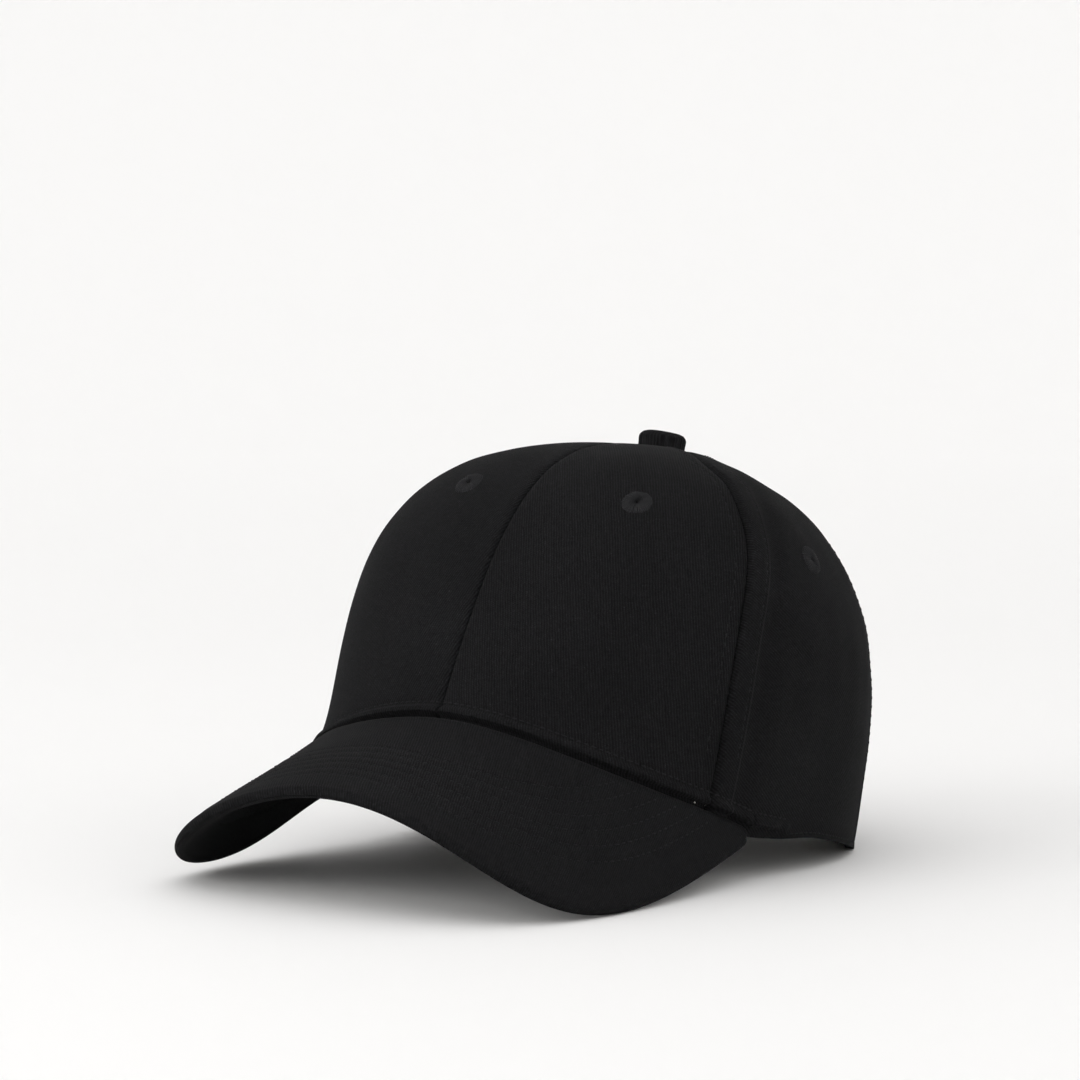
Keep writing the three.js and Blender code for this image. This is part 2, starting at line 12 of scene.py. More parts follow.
import bpy
import numpy as np
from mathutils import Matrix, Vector


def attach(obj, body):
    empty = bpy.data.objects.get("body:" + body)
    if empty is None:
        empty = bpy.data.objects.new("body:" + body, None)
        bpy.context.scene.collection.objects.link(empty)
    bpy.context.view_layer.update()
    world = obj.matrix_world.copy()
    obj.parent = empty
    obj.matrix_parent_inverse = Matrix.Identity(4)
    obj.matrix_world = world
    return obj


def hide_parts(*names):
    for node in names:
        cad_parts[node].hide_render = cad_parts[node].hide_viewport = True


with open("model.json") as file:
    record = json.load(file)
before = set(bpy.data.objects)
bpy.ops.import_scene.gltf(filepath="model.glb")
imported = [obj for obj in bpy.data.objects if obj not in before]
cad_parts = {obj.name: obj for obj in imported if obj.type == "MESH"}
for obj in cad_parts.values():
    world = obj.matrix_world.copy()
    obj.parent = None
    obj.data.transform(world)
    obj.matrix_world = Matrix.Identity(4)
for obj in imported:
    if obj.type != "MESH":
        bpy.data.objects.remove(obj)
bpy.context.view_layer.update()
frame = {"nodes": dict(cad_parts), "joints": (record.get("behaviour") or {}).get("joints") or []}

MM = 0.001
DEG = math.pi / 180
UV_SCALE = 0.01  # weave coordinates per millimetre

# ---- the crown's form, the same as the CAD's
HALF_WIDTH = 86
HALF_FRONT = 113
PLAN_POWER = 2.35
CROWN_HEIGHT = 125
SIDE_START = 45
BACK_START = 125
# [inward lean at the rim, fullness of the wall, breadth of the top] in front, at the side, behind
WALLS = np.array([[0.19, 0.82, 0.63], [-0.26, 0.69, 0.94], [-0.09, 0.695, 0.7]])
FRONT_SEAM = 54.5
REAR_SEAM = 121
PANEL_TOP = 0.975
EYELETS = {
    "front_left": (30.8, 0.48),
    "front_right": (-19.8, 0.498),
    "side_left": (77.3, 0.443),
    "side_right": (-77.3, 0.443),
    "back_left": (150, 0.5),
    "back_right": (-150, 0.5),
}

# ---- the visor's form
VISOR_HALF = 118.5
VISOR_REACH = 155.2
VISOR_POWER = 3
VISOR_ROOT = -32.6
SLOPE = 29.8 * DEG
VISOR_HEIGHT = 13.2
ARCH_RADIUS = 84.6
ARCH_FLARE = 0.108
VISOR_END = 67
PATTERN_END = 88
VISOR_THICKNESS = 4.3
BROW_LIFT = 5.2
CORNER_LIFT = 12
EDGE_SEAM = {"top": 2.55, "under": 2.75}  # depths of the two cloths' meeting in the visor's edge
EDGE_ROLL = 2.2
EDGE_TUCK = 0.9
EDGE_CLOSE = 2.4  # length over which the rolled edge closes beside the crown
ROOT_HALF = 110  # length of the root from its middle to its end
CREASE = 3.4  # depth and width of the top cloth's dip into the crown's crevice
BOARD_DEPTH = (1.1, 3.2)
BOARD_INSET = 2.2
BOARD_GAP = 4

# ---- the hem
HEM_FADE = 25
HEM_DIP = -5
FLOOR_TRIM = 0.2
BAND_WIDTH = 3.1  # rolled edge of the crown, above the visor
BAND_RISE = 1.5
CREVICE = 1.2  # how far the wall dives in below that edge
BAND_END = 78  # bearing where the rolled edge ends
HEM_ROW = 4.3  # stitch row above the visor
RIM_ROW = 1.7  # stitch row above the rim, where there is no visor

# ---- the seams
GROOVE_DEPTH = 1.4
GROOVE_WIDTH = 0.75
RIDGE_WIDTH = 8.8  # seam allowance pressed towards the side panel
RIDGE_RISE = 1.15
HOLLOW = 1.1  # depth of the dip behind that ridge
LOW_RIDGE_RISE = 0.4
STITCH_DENT = 0.22
FRONT_ROW = 5.2  # stitch rows, from the seam line
SIDE_ROW = 6.8
PUCKER_PITCH = 3.5
PUCKER_RISE = 0.14
SLUMP = (1.5, -1.3, 1.6)  # of the soft panels: low down, near the top, at the rim
SEAM_BOW = (2, -3.5)  # degrees: backward at half height, then forward near the top
SEAM_TOP = 0.9  # run where the rows of stitches and the buckram end
CREST_RISE = 1.2
FLARE_RISE = 1.3
BROW_FOLD = 4.7

# ---- layers: depths of the outer and inner face
CLOTH = 0.8
BUCKRAM = (1.2, 1.8)
TAPE = (1.3, 1.7)
FRONT_TAPE = (2.3, 2.7)
STRAP = (3, 3.9)
SWEATBAND = (4.2, 5.2)
LABEL = (6, 6.4)
TAPE_HALF = 5
TAPE_ROW = 0.72  # place of a tape's stitch rows, as a share of its half width
TAPE_SWELL = 0.35
TAPE_SPARE = 1  # how far the cloth may dip before the tape under it gives way
FRONT_TAPE_SPARE = 1.4
NARROWEST = 0.01  # metres, least length of a sheet's measured grid
SWEATBAND_HEIGHT = 31
SWEATBAND_INSET = 0.8
SWEATBAND_ROWS = (2.2, 4.4, 28.5)
LABEL_BEARING = (96, 110)
LABEL_ABOVE = (5, 26)

# ---- the opening at the back, its strap and buckle
OPENING_HALF = 33
OPENING_WIDTH = HALF_WIDTH * math.sin(OPENING_HALF * DEG)
OPENING_HEIGHT = 50
OPENING_FOOT = 0.35  # height where the opening's edge reaches the hem
OPENING_ROW = 2.4
BACK_WALL = 170.0  # the bearing whose wall stands for the whole back's
BACK_TAPE_START = 0.42
BINDING_WIDTH = 8
STRAP_BEARING = (133, 227)
STRAP_SPAN = (7, 27)
STRAP_ROW = 1.8  # stitch rows, from the strap's edges
BUCKLE_BEARING = (191, 206)
BUCKLE_SPAN = (5.7, 28.3)
BUCKLE_WALL = 1
BUCKLE_DEPTH = (-0.9, 4.9)
PLATE_END = 202
PLATE_DEPTH = (4.2, 4.9)
BAR_BEARING = (204, 205.6)
BAR_DEPTH = (0.9, 1.6)
PIN_BEARING = 193.2
PIN_DEPTH = 0.5
PIN_RADIUS = 0.6
LEVER_END = 202.8
KNUCKLE = 1.5
TAB_SPAN = (8.5, 25.5)
TAB_HALF = 0.26  # half the tab's thickness

# ---- the eyelets
EYELET_THREADS = 34
EYELET_HOLE = 2.1
EYELET_DISH = 95  # radius of the wall's curve under the ring
EYELET_PROFILE = np.array([
    [0.6, -1.0], [0.55, -0.3], [0.65, 0.1], [0.95, 0.45], [1.5, 0.68], [2.3, 0.8], [3.1, 0.82],
    [3.9, 0.72], [4.6, 0.5], [5.1, 0.2], [5.35, -0.1], [5.3, -0.5], [3.2, -0.6], [1.4, -1.0],
])

# ---- the button
BUTTON_RADIUS = 8.5
BUTTON_HEIGHT = 7.6
BUTTON_SINK = 0.2
PLEATS = 46

# ---- the quilted rows of the visor: half width and reach of the outermost, and each row's step
ROWS = 6
ROW_HALF = 102
ROW_REACH = 143.2
ROW_STEP = (5.3, 5.0)
ROW_GROOVE = 0.12
ROW_SWEEP = 86  # degrees in the flat pattern, to each side of the front
ROW_CLEAR = 3.5  # the rows end at this distance from the crown

# ---- threads
THREAD = 0.25
VISOR_STITCH = 3.1
SEAM_STITCH = 3.2
HEM_STITCH = 2.6

# ---- directions of the twill's ribs, in degrees from each pattern's own width, on the left
RIBS = {"front": 102, "side": 148, "back": 118}
VISOR_RIBS = 62
STRAP_RIBS = 58

crown_joint = next(j for j in frame["joints"] if j["name"] == "strap_adjust")
CROWN_ORIGIN = np.array(crown_joint["pos_m"]) / MM
CROWN_UP = np.array(crown_joint["axis"]) / np.linalg.norm(crown_joint["axis"])
CROWN_AXES = np.stack([[1, 0, 0], np.cross(CROWN_UP, [1, 0, 0]), CROWN_UP])
CROWN_LIFT = CROWN_ORIGIN[2]


# ==== small mathematics
def lerp(a, b, share):
    return a + (b - a) * share


def smoothstep(x, low, high):
    share = np.clip((x - low) / (high - low), 0, 1)
    return share * share * (3 - 2 * share)


def bell(x, centre, width):
    return np.exp(-(((x - centre) / width) ** 2))


def unit(vectors):
    return vectors / np.linalg.norm(vectors, axis=-1, keepdims=True)


def superellipse(angle, across, along, power):
    """Radius of a superellipse in the direction of an angle from its second axis, in radians."""
    width = (np.abs(np.sin(angle)) / across) ** power
    length = (np.abs(np.cos(angle)) / along) ** power
    return (width + length) ** (-1 / power)


def ripple(points, wavelength, seed):
    """A smooth random height of about -1 to 1 at each point, from waves in fixed directions."""
    random = np.random.default_rng(seed)
    directions = unit(random.normal(size=(7, 3)))
    pitch = 2 * math.pi / wavelength * random.uniform(0.7, 1.3, 7)
    phases = random.uniform(0, 2 * math.pi, 7)
    return np.sin(points @ (directions * pitch[:, None]).T + phases).sum(-1) / 3


def bisect(quantity, low, high, steps=30):
    """Where each rising quantity reaches zero, for arrays of limits."""
    for _ in range(steps):
        middle = (low + high) / 2
        below = quantity(middle) < 0
        low = np.where(below, middle, low)
        high = np.where(below, high, middle)
    return (low + high) / 2


# ==== the crown's surface
def turn_of(bearing):
    """Degrees from the front, from 0 to 180."""
    return np.degrees(np.arccos(np.cos(np.radians(bearing))))


def rim_radius(bearing):
    angle = np.radians(bearing)
    front = superellipse(angle, HALF_WIDTH, HALF_FRONT, PLAN_POWER)
    return np.where(np.cos(angle) < 0, HALF_WIDTH, front)


def meridian(bearing, t):
    """How far out, as a share of the rim's radius, and how high the wall is."""
    forward = np.cos(np.radians(bearing))
    front = (rim_radius(bearing) * np.maximum(forward, 0) / HALF_FRONT) ** PLAN_POWER
    back = (1 - front) * smoothstep(turn_of(bearing), SIDE_START, BACK_START)
    shares = np.stack([front, 1 - front - back, back], -1)
    lean, fullness, breadth = np.moveaxis(shares @ WALLS, -1, 0)
    s = 1 - t
    reach = s**3 + 3 * s * s * t * (1 - lean) + 3 * s * t * t * breadth
    height = CROWN_HEIGHT * (3 * s * s * t * fullness + 3 * s * t * t + t**3)
    return reach, height


def wall_radius(bearing, t):
    return meridian(bearing, t)[0] * rim_radius(bearing)


def crown_surface(bearing, t):
    bearing, t = np.broadcast_arrays(np.asarray(bearing, float), np.asarray(t, float))
    reach, height = meridian(bearing, t)
    radius = reach * rim_radius(bearing)
    angle = np.radians(bearing)
    return np.stack([radius * np.sin(angle), -radius * np.cos(angle), height], -1)


def crown_normal(bearing, t):
    around = crown_surface(bearing + 0.01, t) - crown_surface(bearing - 0.01, t)
    up = crown_surface(bearing, t + 1e-4) - crown_surface(bearing, t - 1e-4)
    return unit(np.cross(around, up))


def crown_point(bearing, t, depth):
    bearing, t, depth = np.broadcast_arrays(bearing, t, depth)
    bearing, t = bearing.astype(float), t.astype(float)
    return crown_surface(bearing, t) - depth[..., None] * crown_normal(bearing, t)


def run_at_height(bearing, height):
    bearing, height = np.broadcast_arrays(np.asarray(bearing, float), np.asarray(height, float))
    low = np.full(bearing.shape, -0.3)
    return bisect(lambda t: meridian(bearing, t)[1] - height, low, low + 1.2)


def band_point(bearing, height, depth):
    return crown_point(bearing, run_at_height(bearing, height), depth)


def place(points):
    """From the crown's frame to metres in the row frame. Nothing goes below the floor."""
    world = (CROWN_ORIGIN + points @ CROWN_AXES) * MM
    world[..., 2] = np.maximum(world[..., 2], 0)
    return world


# ==== the visor's surface
def brow_lift(u, v):
    """The wearer's right of the visor stands a little higher beside the crown."""
    corner = CORNER_LIFT * bell(u, -122, 22) * bell(v, 25, 40)
    return BROW_LIFT * bell(u, -84, 34) * bell(v, 66, 50) + corner


def visor_surface(u, v):
    forward = v * math.cos(SLOPE)
    radius = ARCH_RADIUS + ARCH_FLARE * forward
    y = VISOR_ROOT - forward
    fall = math.tan(SLOPE) * (y + HALF_FRONT) - radius * (1 - np.cos(u / radius))
    height = VISOR_HEIGHT + fall + brow_lift(u, v)
    return np.stack([radius * np.sin(u / radius), y, height], -1)


def visor_normal(u, v):
    """Points down, into the visor."""
    across = visor_surface(u + 0.01, v) - visor_surface(u - 0.01, v)
    ahead = visor_surface(u, v + 0.01) - visor_surface(u, v - 0.01)
    return unit(np.cross(across, ahead))


def visor_point(u, v, depth):
    u, v, depth = np.broadcast_arrays(u, v, depth)
    return visor_surface(u, v) + depth[..., None] * visor_normal(u, v)


def visor_height(x, y):
    radius = ARCH_RADIUS + ARCH_FLARE * (VISOR_ROOT - y)
    reach = np.minimum(np.abs(x), 0.98 * radius)
    fall = math.tan(SLOPE) * (y + HALF_FRONT)
    return VISOR_HEIGHT + fall - radius + np.sqrt(radius**2 - reach**2)


def pattern_of(points):
    """The flat pattern's place of points on the visor's surface."""
    forward = VISOR_ROOT - points[..., 1]
    radius = ARCH_RADIUS + ARCH_FLARE * forward
    ratio = np.clip(points[..., 0] / radius, -0.995, 0.995)
    return np.stack([radius * np.arcsin(ratio), forward / math.cos(SLOPE)], -1)


def pattern_edge(angle, inset):
    radius = superellipse(angle, VISOR_HALF - inset, VISOR_REACH - inset, VISOR_POWER)
    return np.stack([radius * np.sin(angle), radius * np.cos(angle)], -1)


# ==== the hem and the line where the visor meets the crown
def run_on_visor(bearing, drop):
    def above(t):
        p = crown_surface(bearing, t)
        return p[..., 2] - visor_height(p[..., 0], p[..., 1]) + drop

    low = np.full(np.shape(bearing), -0.3)
    return bisect(above, low, low + 0.9)


def height_at(bearing, t):
    return meridian(bearing, t)[1]


def hem_tables():
    """Turns, the run of the rim at each, and the height of the visor's line at each."""
    turns = np.linspace(0, 180, 721)
    on_visor = turns <= VISOR_END
    corner = height_at(VISOR_END, run_on_visor(VISOR_END, 0))
    line = lerp(corner, HEM_DIP, smoothstep(turns, VISOR_END, REAR_SEAM))
    line = np.where(on_visor, height_at(turns, run_on_visor(turns, 0)), line)
    under = VISOR_THICKNESS * (1 - smoothstep(turns, VISOR_END, VISOR_END + HEM_FADE))
    backward = HALF_WIDTH * np.maximum(0, -np.cos(np.radians(turns)))
    floor = (backward * CROWN_UP[1] - CROWN_LIFT) / CROWN_UP[2] - FLOOR_TRIM
    rim = np.where(on_visor, line, np.maximum(line - under, floor))
    run = np.where(on_visor, run_on_visor(turns, VISOR_THICKNESS), run_at_height(turns, rim))
    return turns, run, line


HEM_TURNS, HEM_RUNS, VISOR_LINE = hem_tables()
HEM_HEIGHTS = height_at(HEM_TURNS, HEM_RUNS)


def hem_run(bearing):
    return np.interp(turn_of(bearing), HEM_TURNS, HEM_RUNS)


def hem_height(bearing):
    return np.interp(turn_of(bearing), HEM_TURNS, HEM_HEIGHTS)


def line_height(bearing):
    return np.interp(turn_of(bearing), HEM_TURNS, VISOR_LINE)


# ==== the crown's relief
CLIMB_RUNS = np.linspace(-0.3, 1, 400)
CLIMB_STEPS = np.diff(crown_surface(FRONT_SEAM, CLIMB_RUNS), axis=0)
CLIMB = np.concatenate([[0], np.cumsum(np.linalg.norm(CLIMB_STEPS, axis=-1))])


def climb(t):
    """Distance up the wall, in millimetres."""
    return np.interp(t, CLIMB_RUNS, CLIMB)


def seam_at(seam, t):
    """A seam's bearing. The seams between the front and side panels aren't straight."""
    if abs(seam) != FRONT_SEAM:
        return np.full_like(t, float(seam))
    bow = SEAM_BOW[0] * bell(t, 0.42, 0.16) + SEAM_BOW[1] * smoothstep(t, 0.62, 0.76)
    return math.copysign(1, seam) * (FRONT_SEAM + bow)


def seam_distance(bearing, t, seam):
    """Distance round the wall from a seam, positive towards the back."""
    return wall_radius(bearing, t) * (turn_of(bearing) - seam_at(seam, t)) * DEG


def groove(distance):
    """A tight furrow, where the panels' edges roll into the seam."""
    tight = (GROOVE_DEPTH - 0.2) * np.exp(-np.abs(distance) / GROOVE_WIDTH)
    return -tight - 0.2 * bell(distance, 0, 2.4)


def stitch_dent(distance, row):
    return -STITCH_DENT * bell(distance, row, 0.8)


def puckers(distance, along):
    """Small gathers that the stitches pull into a seam's edges."""
    phase = 2 * math.pi * (along / PUCKER_PITCH + 0.25 * np.sin(along / 11))
    return PUCKER_RISE * np.exp(-np.abs(distance) / 1.3) * np.sin(phase)


def ridge(distance):
    """The seam allowance under the side panel, and the hollow behind it."""
    rise = smoothstep(distance, 0, 1.8) * (1 - smoothstep(distance, RIDGE_WIDTH - 1, RIDGE_WIDTH + 1))
    return RIDGE_RISE * rise - HOLLOW * bell(distance, RIDGE_WIDTH + 3.6, 4)


def low_ridge(distance):
    """The allowance on each side of an open seam, as far as its row of stitches."""
    rise = smoothstep(distance, 0, 1.2) * (1 - smoothstep(distance, FRONT_ROW + 0.2, FRONT_ROW + 2))
    return LOW_RIDGE_RISE * rise + stitch_dent(distance, FRONT_ROW)


def hem_relief(bearing, t):
    """The rolled edge above the visor, and the turned rim further back."""
    above = height_at(bearing, t) - line_height(bearing)
    turn = turn_of(bearing)
    roll = smoothstep(above, -0.4, 0.9) * (1 - smoothstep(above, BAND_WIDTH - 1.1, BAND_WIDTH + 0.4))
    dive = CREVICE * (1 - smoothstep(above, -0.5, 0.5))
    band = (BAND_RISE * roll - dive) * (1 - smoothstep(turn, BAND_END - 5, BAND_END + 1))
    dent = -0.25 * bell(above, HEM_ROW, 0.7) * (turn < BAND_END)
    knot = 1.1 * bell(turn, BAND_END, 1.0) * bell(above, BAND_WIDTH * 0.6, 1.6)
    edge = height_at(bearing, t) - hem_height(bearing)
    turned = 0.35 * bell(edge, 0.4, 0.9) - 0.2 * bell(edge, RIM_ROW, 0.6)
    return band + dent + knot + turned * smoothstep(turn, BAND_END, BAND_END + 4)


def opening_distance(points):
    """Distance of points on the back wall from the opening's edge, for points in the crown's frame."""
    ratio = np.hypot(points[..., 0] / OPENING_WIDTH, points[..., 2] / OPENING_HEIGHT)
    return (ratio - 1) * (OPENING_WIDTH + OPENING_HEIGHT) / 2


def slump(bearing, t):
    """The soft side and back panels sag: flatter near the top and fuller below."""
    soft = smoothstep(turn_of(bearing), FRONT_SEAM + 8, FRONT_SEAM + 45)
    low, high, rim = bell(t, 0.31, 0.17), bell(t, 0.74, 0.13), bell(t, -0.05, 0.09)
    return soft * (SLUMP[0] * low + SLUMP[1] * high + SLUMP[2] * rim)


def crest(bearing, t):
    """The front panels rise a little where the button gathers them."""
    ahead = 1 - smoothstep(turn_of(bearing), 50, 84)
    return CREST_RISE * smoothstep(t, 0.66, 0.95) * ahead


def flare(bearing, t):
    """The wearer's right of the brow is pressed outward at the visor's root."""
    above = np.maximum(height_at(bearing, t) - line_height(bearing), 0)
    bulge = FLARE_RISE * (1 - smoothstep(t, 0, 0.3)) ** 2
    return bell(bearing, -45, 16) * (bulge + BROW_FOLD * np.exp(-above / 7.5))


def relief(bearing, t):
    """How far the cloth stands out from the CAD's smooth wall, in millimetres."""
    along = climb(t)
    front = seam_distance(bearing, t, 0)
    side = seam_distance(bearing, t, FRONT_SEAM)
    rear = seam_distance(bearing, t, REAR_SEAM)
    back = seam_distance(bearing, t, 180)
    seams = (front, side, rear, back)
    furrows = sum(groove(d) + puckers(d, along + 9 * k) / (1 + k // 2) for k, d in enumerate(seams))
    height = np.where(side > 0, ridge(side) + stitch_dent(side, SIDE_ROW), stitch_dent(-side, FRONT_ROW))
    height += np.where(rear > 0, low_ridge(rear), low_ridge(-rear)) + low_ridge(-back)
    height *= 1 - smoothstep(t, 0.62, 0.86)
    height += furrows * (1 - smoothstep(t, 0.9, PANEL_TOP))
    points = crown_surface(bearing, t)
    soft = 0.35 * ripple(points, 46, 3) + 0.1 * ripple(points, 17, 5)
    softness = smoothstep(t, 0, 0.25) * (1 - smoothstep(t, 0.7, 0.95))
    slack = smoothstep(turn_of(bearing), FRONT_SEAM, FRONT_SEAM + 12)
    form = slump(bearing, t) + crest(bearing, t) + flare(bearing, t)
    return height + soft * softness * (0.5 + 0.9 * slack) + hem_relief(bearing, t) + form


# ==== meshes
def mesh_object(name, vertices, faces, weave=None):
    """An object from points in metres and lists of faces of one size each."""
    mesh = bpy.data.meshes.new(name)
    mesh.vertices.add(vertices.size // 3)
    mesh.vertices.foreach_set("co", np.asarray(vertices, np.float32).ravel())
    sizes = np.concatenate([np.full(len(f), f.shape[1]) for f in faces])
    corners = np.concatenate([f.ravel() for f in faces]).astype(np.int32)
    mesh.loops.add(len(corners))
    mesh.loops.foreach_set("vertex_index", corners)
    mesh.polygons.add(len(sizes))
    starts = np.concatenate([[0], np.cumsum(sizes)[:-1]])
    mesh.polygons.foreach_set("loop_start", starts.astype(np.int32))
    mesh.polygons.foreach_set("use_smooth", np.ones(len(sizes), bool))
    if weave is not None:
        layer = mesh.uv_layers.new(name="Weave")
        layer.data.foreach_set("uv", np.asarray(weave.reshape(-1, 2)[corners], np.float32).ravel())
    mesh.update(calc_edges=True)
    mesh.validate()
    mesh.set_sharp_from_angle(angle=math.radians(50))
    made = bpy.data.objects.new(name, mesh)
    bpy.context.scene.collection.objects.link(made)
    return made


def wall_faces(keep, outer, inner):
    """The quads that close a sheet round its border and round its holes."""
    quads = []
    for across, (there, top, deep) in enumerate([(keep, outer, inner), (keep.T, outer.T, inner.T)]):
        change = np.diff(np.pad(there.astype(int), ((0, 0), (1, 1))), axis=1) * (1 - 2 * across)
        ring = np.stack([top[1:], top[:-1], deep[:-1], deep[1:]], -1)
        quads += [ring[change == 1], ring[change == -1][:, ::-1]]
    return np.concatenate(quads)


def ring_quads(number):
    """The quads between rings of vertex numbers. The last axis goes round each ring."""
    turned = np.roll(number, -1, axis=-1)
    corners = [number[..., :-1, :], turned[..., :-1, :], turned[..., 1:, :], number[..., 1:, :]]
    return np.stack(corners, -1).reshape(-1, 4)


def numbered(*shape):
    return np.arange(math.prod(shape)).reshape(shape)


def closed_sheet(name, outer, inner, weave, keep=None):
    """A closed sheet between two grids of points in metres. keep says which cells are there."""
    nu, nv = outer.shape[:2]
    keep = np.ones((nu - 1, nv - 1), bool) if keep is None else keep
    top = numbered(nu, nv)
    deep = top + nu * nv
    cell = [top[:-1, :-1], top[1:, :-1], top[1:, 1:], top[:-1, 1:]]
    faces = np.concatenate([
        np.stack([c[keep] for c in cell], -1),
        np.stack([c[keep] + nu * nv for c in cell[::-1]], -1),
        wall_faces(keep, top, deep),
    ])
    points = np.concatenate([outer.reshape(-1, 3), inner.reshape(-1, 3)])
    sides = np.cross(outer[1:, :-1] - outer[:-1, :-1], outer[:-1, 1:] - outer[:-1, :-1])
    if (sides * (outer - inner)[:-1, :-1]).sum() < 0:
        faces = faces[:, ::-1]
    used = np.unique(faces)
    renumber = np.zeros(len(points), int)
    renumber[used] = np.arange(len(used))
    weave = np.tile(weave.reshape(-1, 2), (2, 1))[used]
    return mesh_object(name, points[used], [renumber[faces]], weave)


def tubes(name, centres, normals, radii, sides=6):
    """Many short closed tubes. centres is tube x ring x 3, in metres, and radii is one per ring."""
    count, rings = centres.shape[:2]
    along = unit(np.gradient(centres, axis=1))
    across = unit(np.cross(along, normals))
    lifted = np.cross(across, along)
    angle = np.arange(sides) * 2 * math.pi / sides
    spokes = np.cos(angle)[:, None] * across[:, :, None] + np.sin(angle)[:, None] * lifted[:, :, None]
    loops = centres[:, :, None] + radii[None, :, None, None] * spokes
    number = numbered(count, rings, sides)
    ends = np.concatenate([number[:, 0, ::-1], number[:, -1]])
    weave = np.zeros((count, rings, sides, 2))
    lengths = np.linalg.norm(np.diff(centres, axis=1), axis=-1).cumsum(1)
    weave[..., 1] = np.pad(lengths, ((0, 0), (1, 0)))[:, :, None] / MM * UV_SCALE
    weave[..., 0] = np.arange(sides) * THREAD * UV_SCALE
    return mesh_object(name, loops, [ring_quads(number), ends], weave)


def stitch_places(points, normals, pitch, gap):
    """Centres and normals of the stitches of one row, which follows points in metres."""
    steps = np.linalg.norm(np.diff(points, axis=0), axis=-1)
    far = np.concatenate([[0], np.cumsum(steps)]) / MM
    count = int(far[-1] / pitch)
    starts = np.arange(count) * pitch + (far[-1] - count * pitch) / 2
    places = starts[:, None] + np.linspace(0.5 * gap, pitch - 0.5 * gap, 6)
    centres = np.stack([np.interp(places, far, points[:, k]) for k in range(3)], -1)
    facing = np.stack([np.interp(places, far, normals[:, k]) for k in range(3)], -1)
    return centres, unit(facing)


def stitches(name, rows, pitch, gap=1.1, radius=THREAD, rise=0.09):
    """One object of all the stitches on several rows of (points, normals)."""
    found = [stitch_places(*row, pitch, gap) for row in rows]
    centres = np.concatenate([c for c, _ in found])
    normals = np.concatenate([n for _, n in found])
    arch = np.array([-1.6, 0.2, 1, 1, 0.2, -1.6]) * rise * MM
    profile = np.array([0.35, 0.85, 1, 1, 0.85, 0.35]) * radius * MM
    lifted = centres + normals * arch[:, None]
    return tubes(name, lifted, normals, profile)


def turn_weave(across, along, ribs):
    """Weave coordinates whose second axis runs along the twill's ribs."""
    angle = ribs * DEG
    over = across * math.sin(angle) - along * math.cos(angle)
    down = across * math.cos(angle) + along * math.sin(angle)
    return np.stack([over, down], -1) * UV_SCALE


def settle(made, body, slot, material, *nodes):
    """Gives a piece its body and its material, and hides the CAD nodes it stands for. Its slot is not
    used.
    """
    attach(made, body)
    if nodes:
        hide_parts(*nodes)
    made.data.materials.clear()
    made.data.materials.append(material)
    return made


def grid_lengths(points):
    """Longest row, longest column and area of a grid of points, in metres."""
    across = np.linalg.norm(np.diff(points, axis=0), axis=-1).sum(0).max()
    along = np.linalg.norm(np.diff(points, axis=1), axis=-1).sum(1).max()
    one = points[1:, :-1] - points[:-1, :-1]
    other = points[:-1, 1:] - points[:-1, :-1]
    return across, along, np.linalg.norm(np.cross(one, other), axis=-1).sum()


def declare(points):
    """Works out the lengths and area of the grid a sheet of cloth was cut to, and does nothing with them.
    """
    across, along, area = grid_lengths(points)
    across, along = max(across, NARROWEST), max(along, NARROWEST)
    area = float(np.clip(area, 0.31 * across * along, across * along))


